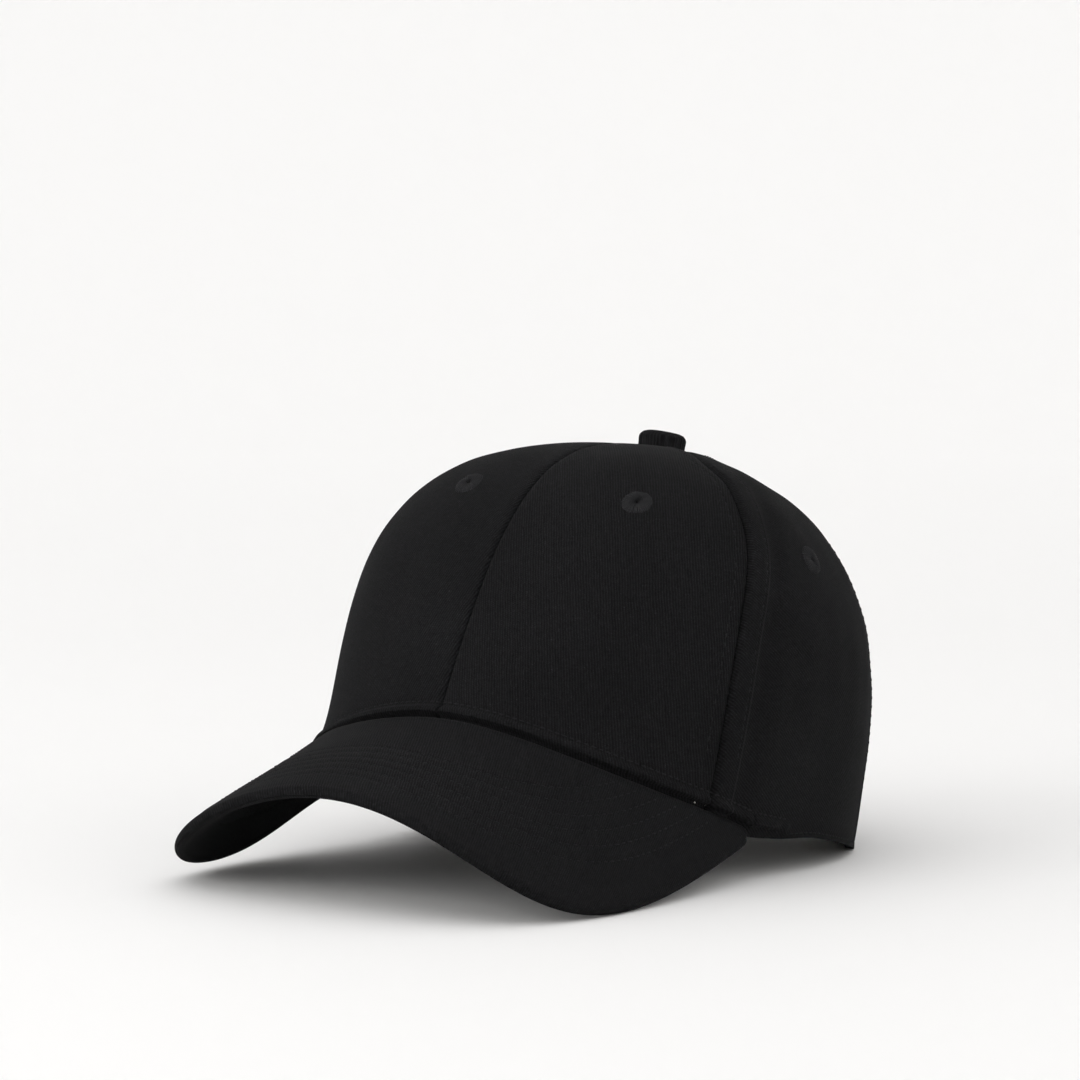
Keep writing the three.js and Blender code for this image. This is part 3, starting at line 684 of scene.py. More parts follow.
# ==== materials
class Nodes:
    """Short names for the nodes of one material."""

    def __init__(self, name):
        self.material = bpy.data.materials.new(name)
        self.material.use_nodes = True
        self.tree = self.material.node_tree
        self.shader = self.tree.nodes["Principled BSDF"]

    def put(self, target, value):
        if isinstance(value, bpy.types.NodeSocket):
            self.tree.links.new(value, target)
        else:
            target.default_value = value

    def math(self, operation, *values):
        node = self.tree.nodes.new("ShaderNodeMath")
        node.operation = operation
        for target, value in zip(node.inputs, values):
            self.put(target, value)
        return node.outputs[0]

    def noise(self, vector, scale, detail=2.0, roughness=0.5):
        node = self.tree.nodes.new("ShaderNodeTexNoise")
        self.put(node.inputs["Vector"], vector)
        node.inputs["Scale"].default_value = scale
        node.inputs["Detail"].default_value = detail
        node.inputs["Roughness"].default_value = roughness
        return node.outputs["Fac"]

    def weave(self):
        """The weave coordinates in millimetres: a vector, and its parts across and along the ribs."""
        uv = self.tree.nodes.new("ShaderNodeUVMap")
        uv.uv_map = "Weave"
        scale = self.tree.nodes.new("ShaderNodeVectorMath")
        scale.operation = "SCALE"
        self.put(scale.inputs[0], uv.outputs[0])
        scale.inputs["Scale"].default_value = 1 / UV_SCALE
        parts = self.tree.nodes.new("ShaderNodeSeparateXYZ")
        self.put(parts.inputs[0], scale.outputs[0])
        return scale.outputs[0], parts.outputs[0], parts.outputs[1]

    def place(self):
        """The object's own coordinates, in metres."""
        return self.tree.nodes.new("ShaderNodeTexCoord").outputs["Object"]

    def ramp(self, value, stops):
        node = self.tree.nodes.new("ShaderNodeValToRGB")
        self.put(node.inputs[0], value)
        points = node.color_ramp.elements
        while len(points) < len(stops):
            points.new(0.5)
        for point, (position, colour) in zip(points, stops):
            point.position = position
            point.color = (*colour, 1)
        return node.outputs[0]

    def mix(self, share, one, other, blend="MIX"):
        node = self.tree.nodes.new("ShaderNodeMix")
        node.data_type = "RGBA"
        node.blend_type = blend
        self.put(node.inputs["Factor"], share)
        self.put(node.inputs["A"], one)
        self.put(node.inputs["B"], other)
        return node.outputs["Result"]

    def bump(self, height, distance):
        node = self.tree.nodes.new("ShaderNodeBump")
        node.inputs["Strength"].default_value = 1
        node.inputs["Distance"].default_value = distance * MM
        self.put(node.inputs["Height"], height)
        self.put(self.shader.inputs["Normal"], node.outputs[0])

    def finish(self, colour, roughness, metallic=0.0, specular=0.3, sheen=0.0):
        self.put(self.shader.inputs["Base Color"], colour)
        self.put(self.shader.inputs["Roughness"], roughness)
        self.shader.inputs["Metallic"].default_value = metallic
        self.shader.inputs["Specular IOR Level"].default_value = specular
        self.shader.inputs["Sheen Weight"].default_value = sheen
        self.shader.inputs["Sheen Roughness"].default_value = 0.6
        return self.material


def wave(nodes, value, pitch):
    """A sine of the given pitch, from 0 to 1."""
    turned = nodes.math("MULTIPLY", value, 2 * math.pi / pitch)
    return nodes.math("MULTIPLY_ADD", nodes.math("SINE", turned), 0.5, 0.5)


def twill(name, dark, light, pitch=0.95, depth=0.1):
    """Cotton twill: diagonal ribs, the short floats of yarn on them, and fuzz."""
    nodes = Nodes(name)
    place_mm, across, along = nodes.weave()
    wander = nodes.noise(place_mm, 0.12, 2)
    shake = nodes.noise(place_mm, 0.8, 2)
    drift = nodes.math("ADD", nodes.math("MULTIPLY_ADD", wander, 0.9, across),
                       nodes.math("MULTIPLY", shake, 0.5))
    ribs = wave(nodes, drift, pitch)
    slanted = nodes.math("MULTIPLY_ADD", drift, 0.55, along)
    floats = wave(nodes, slanted, 0.7)
    fuzz = nodes.noise(place_mm, 1.5, 4, 0.75)
    fibres = nodes.noise(place_mm, 0.5, 3, 0.6)
    yarn = nodes.math("MULTIPLY", ribs, nodes.math("MULTIPLY_ADD", floats, 0.35, 0.65))
    height = nodes.math("MULTIPLY_ADD", fuzz, 0.5, yarn)
    tone = nodes.math("MULTIPLY_ADD", yarn, 0.26, nodes.math("MULTIPLY", fuzz, 0.75))
    tone = nodes.math("MULTIPLY_ADD", fibres, 0.3, tone)
    colour = nodes.ramp(tone, [(0.4, dark), (0.82, light), (0.98, tuple(3 * c for c in light))])
    cloud = nodes.noise(nodes.place(), 24, 3)
    colour = nodes.mix(1.0, colour, nodes.ramp(cloud, [(0.3, (0.86,) * 3), (0.7, (1.1,) * 3)]), "MULTIPLY")
    nodes.bump(height, depth)
    return nodes.finish(colour, 0.92, specular=0.05, sheen=0.004)


def thread(name, dark, light):
    """Sewing thread, with a twist."""
    nodes = Nodes(name)
    place_mm, across, along = nodes.weave()
    twist = wave(nodes, nodes.math("MULTIPLY_ADD", across, 0.9, along), 0.55)
    fuzz = nodes.noise(place_mm, 3.0, 3, 0.7)
    tone = nodes.math("MULTIPLY_ADD", twist, 0.5, nodes.math("MULTIPLY", fuzz, 0.5))
    nodes.bump(tone, 0.08)
    return nodes.finish(nodes.ramp(tone, [(0.2, dark), (0.85, light)]), 0.85, specular=0.08, sheen=0.01)


def plain_weave(name, dark, light, pitch, depth=0.15):
    """Over-and-under weave, for tapes, buckram and the sweatband."""
    nodes = Nodes(name)
    place_mm, across, along = nodes.weave()
    warp = wave(nodes, across, pitch)
    weft = wave(nodes, along, pitch)
    over = nodes.math("MULTIPLY", warp, weft)
    under = nodes.math("MULTIPLY", nodes.math("SUBTRACT", 1.0, warp), nodes.math("SUBTRACT", 1.0, weft))
    height = nodes.math("ADD", over, under)
    fuzz = nodes.noise(place_mm, 1.8, 3, 0.6)
    tone = nodes.math("MULTIPLY_ADD", height, 0.5, nodes.math("MULTIPLY", fuzz, 0.5))
    nodes.bump(tone, depth)
    return nodes.finish(nodes.ramp(tone, [(0.25, dark), (0.8, light)]), 0.9, specular=0.25)


def worn_metal(name, dark, light):
    """Dark plated metal, brushed, with lighter wear."""
    nodes = Nodes(name)
    where = nodes.place()
    stretch = nodes.tree.nodes.new("ShaderNodeMapping")
    stretch.inputs["Scale"].default_value = (1, 1, 14)
    nodes.put(stretch.inputs["Vector"], where)
    brushed = nodes.noise(stretch.outputs[0], 240, 4, 0.6)
    wear = nodes.noise(where, 180, 4, 0.6)
    colour = nodes.mix(nodes.ramp(wear, [(0.45, (0, 0, 0)), (0.75, (1, 1, 1))]), (*dark, 1), (*light, 1))
    roughness = nodes.math("MULTIPLY_ADD", brushed, 0.25, 0.24)
    nodes.bump(brushed, 0.03)
    return nodes.finish(colour, roughness, metallic=1.0, specular=0.5)


def moulded(name, dark, light):
    """Moulded board, finely grained."""
    nodes = Nodes(name)
    grain = nodes.noise(nodes.place(), 900, 3, 0.6)
    nodes.bump(grain, 0.05)
    roughness = nodes.math("MULTIPLY_ADD", grain, 0.15, 0.5)
    return nodes.finish(nodes.ramp(grain, [(0.3, dark), (0.7, light)]), roughness, specular=0.4)


def grey(level, blue=1.06):
    return (level, level, level * blue)


TWILL = twill("twill", grey(0.0014), grey(0.0132))
STRAP_TWILL = twill("strap_twill", grey(0.0028), grey(0.0128), pitch=1.0)
BUTTON_TWILL = twill("button_twill", grey(0.002), grey(0.0165))
STITCH = thread("stitch_thread", grey(0.0055), grey(0.021))
EMBROIDERY = thread("eyelet_thread", grey(0.008), grey(0.034))
TAPE_CLOTH = plain_weave("tape_cloth", grey(0.002), grey(0.009), 0.7)
SWEAT_CLOTH = plain_weave("sweatband_cloth", grey(0.003), grey(0.01), 0.55, 0.1)
BUCKRAM_CLOTH = plain_weave("buckram_cloth", (0.32, 0.31, 0.28), (0.52, 0.5, 0.46), 1.4, 0.3)
LABEL_CLOTH = plain_weave("label_cloth", (0.55, 0.54, 0.52), (0.75, 0.74, 0.71), 0.5, 0.05)
METAL = worn_metal("buckle_metal", grey(0.045, 1), grey(0.11, 1))
BOARD = moulded("visor_board_plastic", grey(0.02), grey(0.03))


# ==== crown panels
def spread(count, ease):
    """Shares from 0 to 1 that lie closer together at both ends."""
    x = np.linspace(0, 1, count)
    return x - ease / (2 * math.pi) * np.sin(2 * math.pi * x)


def rising(count, start):
    """Shares from 0 to 1 that lie closer together near 0."""
    x = np.linspace(0, 1, count)
    return start * x + (1 - start) * x * x


def eyelet_cells(points, name):
    """The cells of a panel's grid that its eyelet leaves in place."""
    bearing, t = EYELETS[name]
    centre = crown_surface(float(bearing), t)
    cells = (points[1:, 1:] + points[:-1, :-1]) / 2
    return np.linalg.norm(cells - centre, axis=-1) > EYELET_HOLE


def panel_grid(sign, first, last):
    """Bearings and runs of a front or side panel's grid."""
    share = spread(141, 0.5)[:, None]
    bearing = lerp(first, last, share)
    t = lerp(hem_run(bearing), PANEL_TOP, rising(206, 0.45)[None, :])
    return sign * lerp(seam_at(first, t), seam_at(last, t), share), t


def opening_line(turn, outside=0):
    """Bearings and runs round the back opening, at a distance outside its edge.

    turn is 0 at the opening's foot on the left and half a turn at its foot on the right.
    """
    height = (OPENING_HEIGHT + outside) * np.sin(turn)
    across = (OPENING_WIDTH + outside) * np.cos(turn)
    t = run_at_height(BACK_WALL, height)
    radius = wall_radius(np.full_like(t, BACK_WALL), t)
    return 180 - np.degrees(np.arcsin(across / radius)), t


def back_grid(sign):
    """Bearings and runs of a back panel: its lower edge is the hem and then the opening."""
    foot = math.asin(OPENING_FOOT / OPENING_HEIGHT)
    arch_bearing, arch_run = opening_line(lerp(foot, math.pi / 2, rising(101, 0.8)))
    hem_bearing = np.linspace(REAR_SEAM, arch_bearing[0], 61)[:-1]
    low_bearing = np.concatenate([hem_bearing, arch_bearing])
    low_run = np.concatenate([hem_run(hem_bearing), arch_run])
    steps = np.linalg.norm(np.diff(crown_surface(low_bearing, low_run), axis=0), axis=-1)
    share = np.concatenate([[0], np.cumsum(steps)]) / steps.sum()
    even = spread(141, 0.45)
    low_bearing = np.interp(even, share, low_bearing)
    low_run = np.interp(even, share, low_run)
    up = rising(176, 0.6)[None, :]
    top_bearing = lerp(REAR_SEAM, 180, even)
    bearing = lerp(low_bearing[:, None], top_bearing[:, None], smoothstep(up, 0, 1))
    t = lerp(low_run[:, None], PANEL_TOP, up)
    return sign * bearing, t


def crown_panel(name, bearing, t):
    """The cloth of one panel, with the hole of its eyelet."""
    part, side = name.split("_")
    middle = (bearing.min() + bearing.max()) / 2
    base = crown_surface(bearing, t)
    normal = crown_normal(bearing, t)
    lift = relief(bearing, t)
    if part == "back":
        off_edge = opening_distance(base)
        lift = lift + 0.3 * bell(off_edge, 0.3, 1.2) - 0.2 * bell(off_edge, OPENING_ROW, 0.7)
    outer = base + normal * lift[..., None]
    inner = base - normal * np.maximum(CLOTH, 0.25 - lift)[..., None]
    across = np.hypot(base[..., 0], base[..., 1]) * (bearing - middle) * DEG
    ribs = RIBS[part] if side == "left" else 180 - RIBS[part]
    weave = turn_weave(across, climb(t), ribs)
    made = closed_sheet(f"panel_{name}", place(outer), place(inner), weave, eyelet_cells(base, name))
    settle(made, "crown", "twill", TWILL, f"crown_panel_{name}")
    declare(place(base))


def crown_panels():
    for side, sign in (("left", 1), ("right", -1)):
        for name, first, last in (("front", 0, FRONT_SEAM), ("side", FRONT_SEAM, REAR_SEAM)):
            crown_panel(f"{name}_{side}", *panel_grid(sign, first, last))
        crown_panel(f"back_{side}", *back_grid(sign))


# ==== rows of stitches on the crown
def wall_row(bearing, t, depth, facing=-1):
    """Points and normals of a row at a depth in the wall. facing is 1 outward and -1 inward."""
    return place(crown_point(bearing, t, depth)), facing * crown_normal(bearing, t) @ CROWN_AXES


def crown_row(bearing, t):
    """A row on the crown's outer cloth."""
    return wall_row(bearing, t, -relief(bearing, t), 1)


def seam_row(seam, distance, low=None):
    """A row beside a seam, from above the hem nearly to the button."""
    start = hem_run(seam) + 0.075 if low is None else low
    t = np.linspace(start, SEAM_TOP, 300)
    bearing = seam_at(seam, t)
    for _ in range(3):
        bearing = seam_at(seam, t) + distance / wall_radius(bearing, t) / DEG
    return crown_row(bearing, t)


def seam_rows(sign):
    front, rear = sign * FRONT_SEAM, sign * REAR_SEAM
    return [
        seam_row(front, -sign * FRONT_ROW),
        seam_row(front, sign * SIDE_ROW),
        seam_row(rear, -sign * FRONT_ROW),
        seam_row(rear, sign * FRONT_ROW),
        seam_row(sign * 180, -sign * FRONT_ROW, BACK_TAPE_START),
    ]


def hem_rows(sign):
    """Rows above the visor, along the rim behind it and round the back opening."""
    band = np.linspace(0, BAND_END, 400)
    rim = np.linspace(BAND_END + 2, 180 - OPENING_HALF - 1, 400)
    bearing, t = opening_line(np.linspace(0.06, math.pi / 2, 300), OPENING_ROW)
    return [
        crown_row(band * sign, run_at_height(band, line_height(band) + HEM_ROW)),
        crown_row(rim * sign, run_at_height(rim, hem_height(rim) + RIM_ROW)),
        crown_row(bearing * sign, t),
    ]


def sew(name, rows, *measures, body="crown", **details):
    """Stitches in the crown's own thread."""
    return settle(stitches(name, rows, *measures, **details), body, "thread", STITCH)


def crown_stitches():
    for side, sign in (("left", 1), ("right", -1)):
        sew(f"seam_stitches_{side}", seam_rows(sign), SEAM_STITCH)
        sew(f"hem_stitches_{side}", hem_rows(sign), HEM_STITCH, 0.6)


# ==== eyelets
def eyelet(name, bearing, t):
    """An embroidered ring: threads laid side by side over a low round crest."""
    angle = np.linspace(0, 2 * math.pi, EYELET_THREADS * 8, endpoint=False)[:, None]
    random = np.random.default_rng(int(abs(bearing)) + 7)
    threads = np.arange(EYELET_THREADS + 1)
    unevenness = random.uniform(-1, 1, len(threads))
    uneven = np.interp(angle * EYELET_THREADS / (2 * math.pi), threads, unevenness)
    rib = np.abs(np.sin(EYELET_THREADS / 2 * angle + 0.5 * uneven)) - 0.6
    radius, height = EYELET_PROFILE.T
    raised = smoothstep(height, -0.4, 0.3)
    height = height + 0.32 * (rib + 0.4 * uneven) * raised
    radius = radius + 0.3 * rib * raised * smoothstep(radius, 3, 5) + 0.12 * uneven * (radius > 4)
    points = ring_points(bearing, t, angle, radius, height)
    number = numbered(*points.shape[:2]).T
    weave = np.stack(np.broadcast_arrays(angle * 3, EYELET_PROFILE[:, 0]), -1) * UV_SCALE
    quads = ring_quads(np.concatenate([number, number[:1]]))
    made = mesh_object(f"eyelet_ring_{name}", place(points), [quads], weave)
    settle(made, "crown", "thread", EMBROIDERY, f"eyelet_{name}")


def ring_points(bearing, t, angle, radius, height):
    """Points round a place on the crown's cloth, in the crown's frame."""
    normal = crown_normal(bearing, t)
    side = unit(np.cross([0, 0, 1.0], normal))
    up = np.cross(normal, side)
    spot = crown_surface(bearing, t) + normal * relief(np.array(float(bearing)), np.array(t))
    drop = radius**2 / (2 * EYELET_DISH)
    round_spot = (radius * np.cos(angle))[..., None] * side + (radius * np.sin(angle))[..., None] * up
    return spot + round_spot + (height - drop)[..., None] * normal


# ==== button
def button_profile():
    """(share of the radius, height) of the cover, from its centre down and back up inside."""
    h = BUTTON_HEIGHT
    return np.array([
        [0.02, h], [0.3, h - 0.02], [0.55, h - 0.1], [0.75, h - 0.3], [0.88, h - 0.72], [0.96, h - 1.4],
        [1.0, h - 2.3], [1.0, h - 3.2], [0.99, h - 4.1], [0.985, h - 4.8], [0.98, 0.0], [0.92, -0.5],
        [0.55, -0.6], [0.5, -0.2], [0.82, 0.2], [0.88, h - 3], [0.8, h - 1.5], [0.5, h - 0.9],
        [0.02, h - 0.8],
    ])


def button():
    """A covered button: a taut top, and pleats where the cloth is gathered under its rim."""
    profile = button_profile() * [BUTTON_RADIUS, 1]
    share = np.linspace(0, 1, 90)
    steps = np.concatenate([[0], np.cumsum(np.linalg.norm(np.diff(profile, axis=0), axis=-1))])
    radius, height = [np.interp(share, steps / steps[-1], values) for values in profile.T]
    angle = np.linspace(0, 2 * math.pi, PLEATS * 8, endpoint=False)[:, None]
    gathered = smoothstep(BUTTON_HEIGHT - height, 0.9, 2.6) * (height > 0) * (share < 0.5)
    fold = np.sin(PLEATS * angle + 0.8 * np.sin(3 * angle) + 0.6 * np.sin(7 * angle))
    dome = 0.12 * np.cos(2 * angle + 1) * (height > 3)
    radius = radius + 0.09 * fold * gathered
    points = np.stack([radius * np.sin(angle), -radius * np.cos(angle), height + dome], -1)
    points = points + [0, 0, CROWN_HEIGHT + CREST_RISE - BUTTON_SINK]
    number = numbered(*points.shape[:2]).T
    weave = turn_weave(points[..., 0], points[..., 1], VISOR_RIBS)
    faces = [ring_quads(number), number[None, 0], number[None, -1, ::-1]]
    made = mesh_object("button_cover", place(points), faces, weave)
    settle(made, "crown", "twill", BUTTON_TWILL, "top_button_cover")
    declare(place(points[:, : len(share) // 2]))


# ==== visor
def row_radius(angle, row):
    """Radius of a quilted row in the flat pattern. row need not be a whole number."""
    half = ROW_HALF - ROW_STEP[0] * row
    reach = ROW_REACH - ROW_STEP[1] * row
    return superellipse(angle, half, reach, VISOR_POWER)


def quilting(u, v):
    """Relief of the visor's cloth: a groove along each row and a slight swell between rows."""
    angle = np.arctan2(u, v)
    radius = np.hypot(u, v)
    first, last = row_radius(angle, 0), row_radius(angle, ROWS - 1)
    pitch = (first - last) / (ROWS - 1)
    place_in = (first - radius) / pitch
    nearest = np.clip(np.round(place_in), 0, ROWS - 1)
    distance = (place_in - nearest) * pitch
    inside = smoothstep(place_in, -0.6, 0) * (1 - smoothstep(place_in, ROWS - 1, ROWS - 0.4))
    swell = 0.04 * np.cos(2 * math.pi * (place_in - 0.5)) * inside
    soft = 0.12 * ripple(visor_surface(u, v), 24, 9) + 0.3 * ripple(visor_surface(u, v), 75, 12)
    return swell - ROW_GROOVE * bell(distance, 0, 0.75) + soft


def outside_crown(points):
    """How far points in the crown's frame are outside its wall."""
    bearing = np.degrees(np.arctan2(points[..., 0], -points[..., 1]))
    radius = np.hypot(points[..., 0], points[..., 1])
    return radius - wall_radius(bearing, run_at_height(bearing, points[..., 2]))


def visor_columns(count):
    """Polar angles of the visor's columns, and where each meets the crown in the flat pattern."""
    side = np.linspace(-1, 1, count)
    side = side + 0.1 / math.pi * np.sin(math.pi * side)
    bearing = side * VISOR_END
    root = pattern_of(crown_surface(bearing, run_on_visor(bearing, 0)))
    return side, side * PATTERN_END * DEG, root


def wall_share(edge, root, depth, gap):
    """The share of the way from the edge to the root where a face meets the crown's wall."""
    low = np.zeros(len(edge))

    def inside(share):
        spot = lerp(edge, root, share[:, None])
        return gap - outside_crown(visor_point(spot[:, 0], spot[:, 1], depth))

    return bisect(inside, low, low + 1.2, 24)


def edge_profile(face, seam):
    """(inset, depth, share inward, share downward) of a cloth's rolled edge, from the seam line on."""
    angle = np.linspace(0, math.pi / 2, 11)
    inset = EDGE_ROLL * (1 - np.cos(angle))
    depth = seam + (face - seam) * np.sin(angle)
    facing = np.sign(seam - face)
    tucked = [[EDGE_TUCK, seam, 0, facing], [0.3 * EDGE_TUCK, seam - 0.12 * facing, 0.6, 0.4 * facing]]
    arc = np.stack([inset, depth, np.cos(angle), facing * np.sin(angle)], -1)
    return np.concatenate([tucked, arc])


def cloth_pattern(face, edge, rows):
    """A visor cloth's grid in the flat pattern, and its distances to the crown and to its sides."""
    side, angle, root = visor_columns(237)
    start = pattern_edge(angle, edge[-1, 0])
    share = wall_share(start, root, face, 0.0)
    flat = start[:, None] + (root - start)[:, None] * (share[:, None] * rows)[..., None]
    rolled = np.stack([pattern_edge(angle, inset) for inset in edge[:, 0]], 1)
    length = np.linalg.norm(root - start, axis=-1)[:, None] * share[:, None] * (1 - rows)
    to_root = np.pad(length, ((0, 0), (len(edge), 0)), constant_values=99)
    to_side = (1 - np.abs(side))[:, None] * ROOT_HALF
    return np.concatenate([rolled, flat], 1), to_root, to_side


def cloth_depths(pattern, to_root, to_side, face, seam, edge, rows):
    """Depths of a visor cloth's outer face: rolled, closed beside the crown, creased and quilted."""
    depth = np.concatenate([edge[:, 1], np.full(len(rows), face)])
    close = 1 - np.sqrt(1 - (1 - np.clip(to_side / EDGE_CLOSE, 0, 1)) ** 2)
    crease = CREASE * (1 - np.clip(to_root / CREASE, 0, 1)) ** 2 * (face == 0)
    flat = smoothstep(to_root, 1, 6) * np.pad(smoothstep(rows, 0, 0.06), (len(edge), 0))
    lift = quilting(pattern[..., 0], pattern[..., 1]) * flat
    facing = np.sign(seam - face)
    return depth + facing * close * np.abs(depth - seam) + crease - facing * lift


def visor_cloth(side, face, ribs):
    """The visor's top or under cloth, from the seam in its edge to the crown."""
    seam = EDGE_SEAM[side]
    edge = edge_profile(face, seam)
    rows = rising(152, 0.9)[1:]
    pattern, to_root, to_side = cloth_pattern(face, edge, rows)
    depth = cloth_depths(pattern, to_root, to_side, face, seam, edge, rows)
    outer = visor_point(pattern[..., 0], pattern[..., 1], depth)
    inward = np.pad(edge[:, 2], (0, len(rows)))
    downward = np.pad(edge[:, 3], (0, len(rows)), constant_values=np.sign(seam - face))
    deeper = pattern + unit([0, 60] - pattern) * (inward * CLOTH)[:, None]
    inner = visor_point(deeper[..., 0], deeper[..., 1], depth + downward * 0.7 * CLOTH)
    weave = turn_weave(pattern[..., 0], pattern[..., 1], ribs)
    made = closed_sheet(f"visor_{side}", place(outer), place(inner), weave)
    settle(made, "crown", "twill", TWILL, f"visor_{side}_fabric")
    declare(place(outer))


def visor_rows(face, sign):
    """The stitch rows on one side of the visor, as points and normals in the row frame."""
    angle = np.linspace(-ROW_SWEEP, ROW_SWEEP, 700) * DEG
    rows = []
    for row in range(ROWS):
        radius = row_radius(angle, row)
        u, v = radius * np.sin(angle), radius * np.cos(angle)
        clear = outside_crown(visor_surface(u, v)) > ROW_CLEAR
        u, v = u[clear], v[clear]
        lift = quilting(u, v)
        points = visor_point(u, v, face - sign * lift)
        normals = -sign * visor_normal(u, v)
        rows.append((place(points), normals @ CROWN_AXES))
    return rows


def visor():
    visor_cloth("top", 0, VISOR_RIBS)
    visor_cloth("under", VISOR_THICKNESS, 180 - VISOR_RIBS)
    sew("visor_stitches_top", visor_rows(0, 1), VISOR_STITCH)
    sew("visor_stitches_under", visor_rows(VISOR_THICKNESS, -1), VISOR_STITCH)
    visor_board()


def visor_board():
    """The stiff board between the visor's cloths."""
    _, angle, root = visor_columns(141)
    start = pattern_edge(angle, BOARD_INSET)
    share = wall_share(start, root, BOARD_DEPTH[1], BOARD_GAP)[:, None] * np.linspace(0, 1, 50)
    spots = start[:, None] + (root - start)[:, None] * share[..., None]
    u, v = spots[..., 0], spots[..., 1]
    rounding = 0.8 * (1 - smoothstep(share, 0, 0.03))
    top = place(visor_point(u, v, BOARD_DEPTH[0] + rounding))
    bottom = place(visor_point(u, v, BOARD_DEPTH[1] - rounding))
    made = closed_sheet("visor_board_core", top, bottom, turn_weave(u, v, 90))
    settle(made, "crown", "board", BOARD, "visor_board")


# ==== linings
def buckram(side, sign):
    """The stiff lining behind a front panel."""
    share = np.linspace(0, 1, 45)[:, None]
    t = lerp(hem_run(share * FRONT_SEAM), SEAM_TOP, rising(90, 0.35)[None, :])
    bearing = sign * share * seam_at(FRONT_SEAM, t)
    depth = np.maximum(BUCKRAM[0], 0.2 - relief(bearing, t))
    outer = crown_point(bearing, t, depth)
    inner = crown_point(bearing, t, depth + BUCKRAM[1] - BUCKRAM[0])
    weave = turn_weave(wall_radius(bearing, t) * bearing * DEG, climb(t), 90)
    keep = eyelet_cells(crown_surface(bearing, t), f"front_{side}")
    made = closed_sheet(f"buckram_lining_{side}", place(outer), place(inner), weave, keep)
    settle(made, "crown", "buckram", BUCKRAM_CLOTH, f"buckram_{side}")
    declare(place(outer))


def tape(node, seam, depths, spare, start=None):
    """A strip over a seam inside the crown, with a stitch row near each edge."""
    low = hem_run(seam) if start is None else start
    t = np.linspace(low + 0.004, 0.87, 130)[None, :]
    across = np.linspace(-1, 1, 15)[:, None]
    centre = seam_at(seam, t)
    to_bearing = TAPE_HALF / wall_radius(centre, t) / DEG

    def sunk(at, run, depth):
        return depth + np.maximum(0, -relief(at, run) - spare)

    bearing, runs = np.broadcast_arrays(centre + across * to_bearing, t)
    swell = TAPE_SWELL * (1 - across**2) + 0.12 * ripple(crown_surface(bearing, runs), 9, 21)
    edge = -0.18 * bell(np.abs(across), TAPE_ROW, 0.1)
    outer = place(crown_point(bearing, runs, sunk(bearing, runs, depths[0])))
    inner = place(crown_point(bearing, runs, sunk(bearing, runs, depths[1] + swell + edge)))
    weave = turn_weave(across * TAPE_HALF, climb(runs), 90)
    made = closed_sheet(f"tape_{node.removeprefix('seam_tape_')}", outer, inner, weave)
    settle(made, "crown", "tape", TAPE_CLOTH, node)
    rows = []
    row_depth = depths[1] + TAPE_SWELL * (1 - TAPE_ROW**2) - 0.1
    for offset in (-TAPE_ROW, TAPE_ROW):
        line = (centre + offset * to_bearing)[0]
        rows.append(wall_row(line, t[0], sunk(line, t[0], row_depth)))
    sewn = sew(f"stitches_{node.removeprefix('seam_')}", rows, SEAM_STITCH)
    declare(outer)


def band(name, bearings, span, depths, counts, soften=0.0, foot=hem_height):
    """Grids of a band on the wall: its outer and inner face and its weave coordinates.

    Its lower and upper edge are at the two heights of the span, above the foot.
    """
    bearing = np.linspace(*bearings, counts[0])[:, None]
    share = np.linspace(0, 1, counts[1])[None, :]
    bearing, height = np.broadcast_arrays(bearing, foot(bearing) + lerp(*span, share))
    rounding = 0.5 * (depths[1] - depths[0]) * (1 - np.sqrt(np.clip(1 - (2 * share - 1) ** 12, 0, 1)))
    base = crown_surface(bearing, run_at_height(bearing, height))
    wobble = soften * ripple(base, 22, len(name))
    outer = place(band_point(bearing, height, depths[0] + rounding + wobble))
    inner = place(band_point(bearing, height, depths[1] - rounding + wobble))
    across = np.linspace(0, 1, counts[0])[:, None] * (bearings[1] - bearings[0]) * DEG * HALF_WIDTH
    weave = np.stack(np.broadcast_arrays(across, height), -1) * UV_SCALE
    return outer, inner, weave


def band_row(bearing, height, depth, facing=-1):
    return wall_row(bearing, run_at_height(bearing, height), depth, facing)


def sweatband():
    end = 180 - OPENING_HALF
    span = (SWEATBAND_INSET, SWEATBAND_INSET + SWEATBAND_HEIGHT)
    outer, inner, weave = band("sweatband", (-end, end), span, SWEATBAND, (420, 40), 0.22)
    made = closed_sheet("sweatband_cloth", outer, inner, weave)
    settle(made, "crown", "sweatband", SWEAT_CLOTH, "sweatband")
    turns = np.linspace(-end + 0.5, end - 0.5, 900)
    low = hem_height(turns) + SWEATBAND_INSET
    rows = [band_row(turns, low + rise, SWEATBAND[1]) for rise in SWEATBAND_ROWS]
    sewn = sew("sweatband_stitches", rows, SEAM_STITCH, radius=0.28)
    declare(outer)


def care_label():
    outer, inner, weave = band("care", LABEL_BEARING, LABEL_ABOVE, LABEL, (40, 40), 0.12)
    made = closed_sheet("label_cloth", outer, inner, weave)
    settle(made, "crown", "label", LABEL_CLOTH, "care_label")
    turns = np.linspace(LABEL_BEARING[0] + 0.4, LABEL_BEARING[1] - 0.4, 60)
    row = band_row(turns, hem_height(turns) + LABEL_ABOVE[1] - 1.2, LABEL[1])
    sewn = sew("label_stitches", [row], 1.8, 0.5)
    declare(outer)


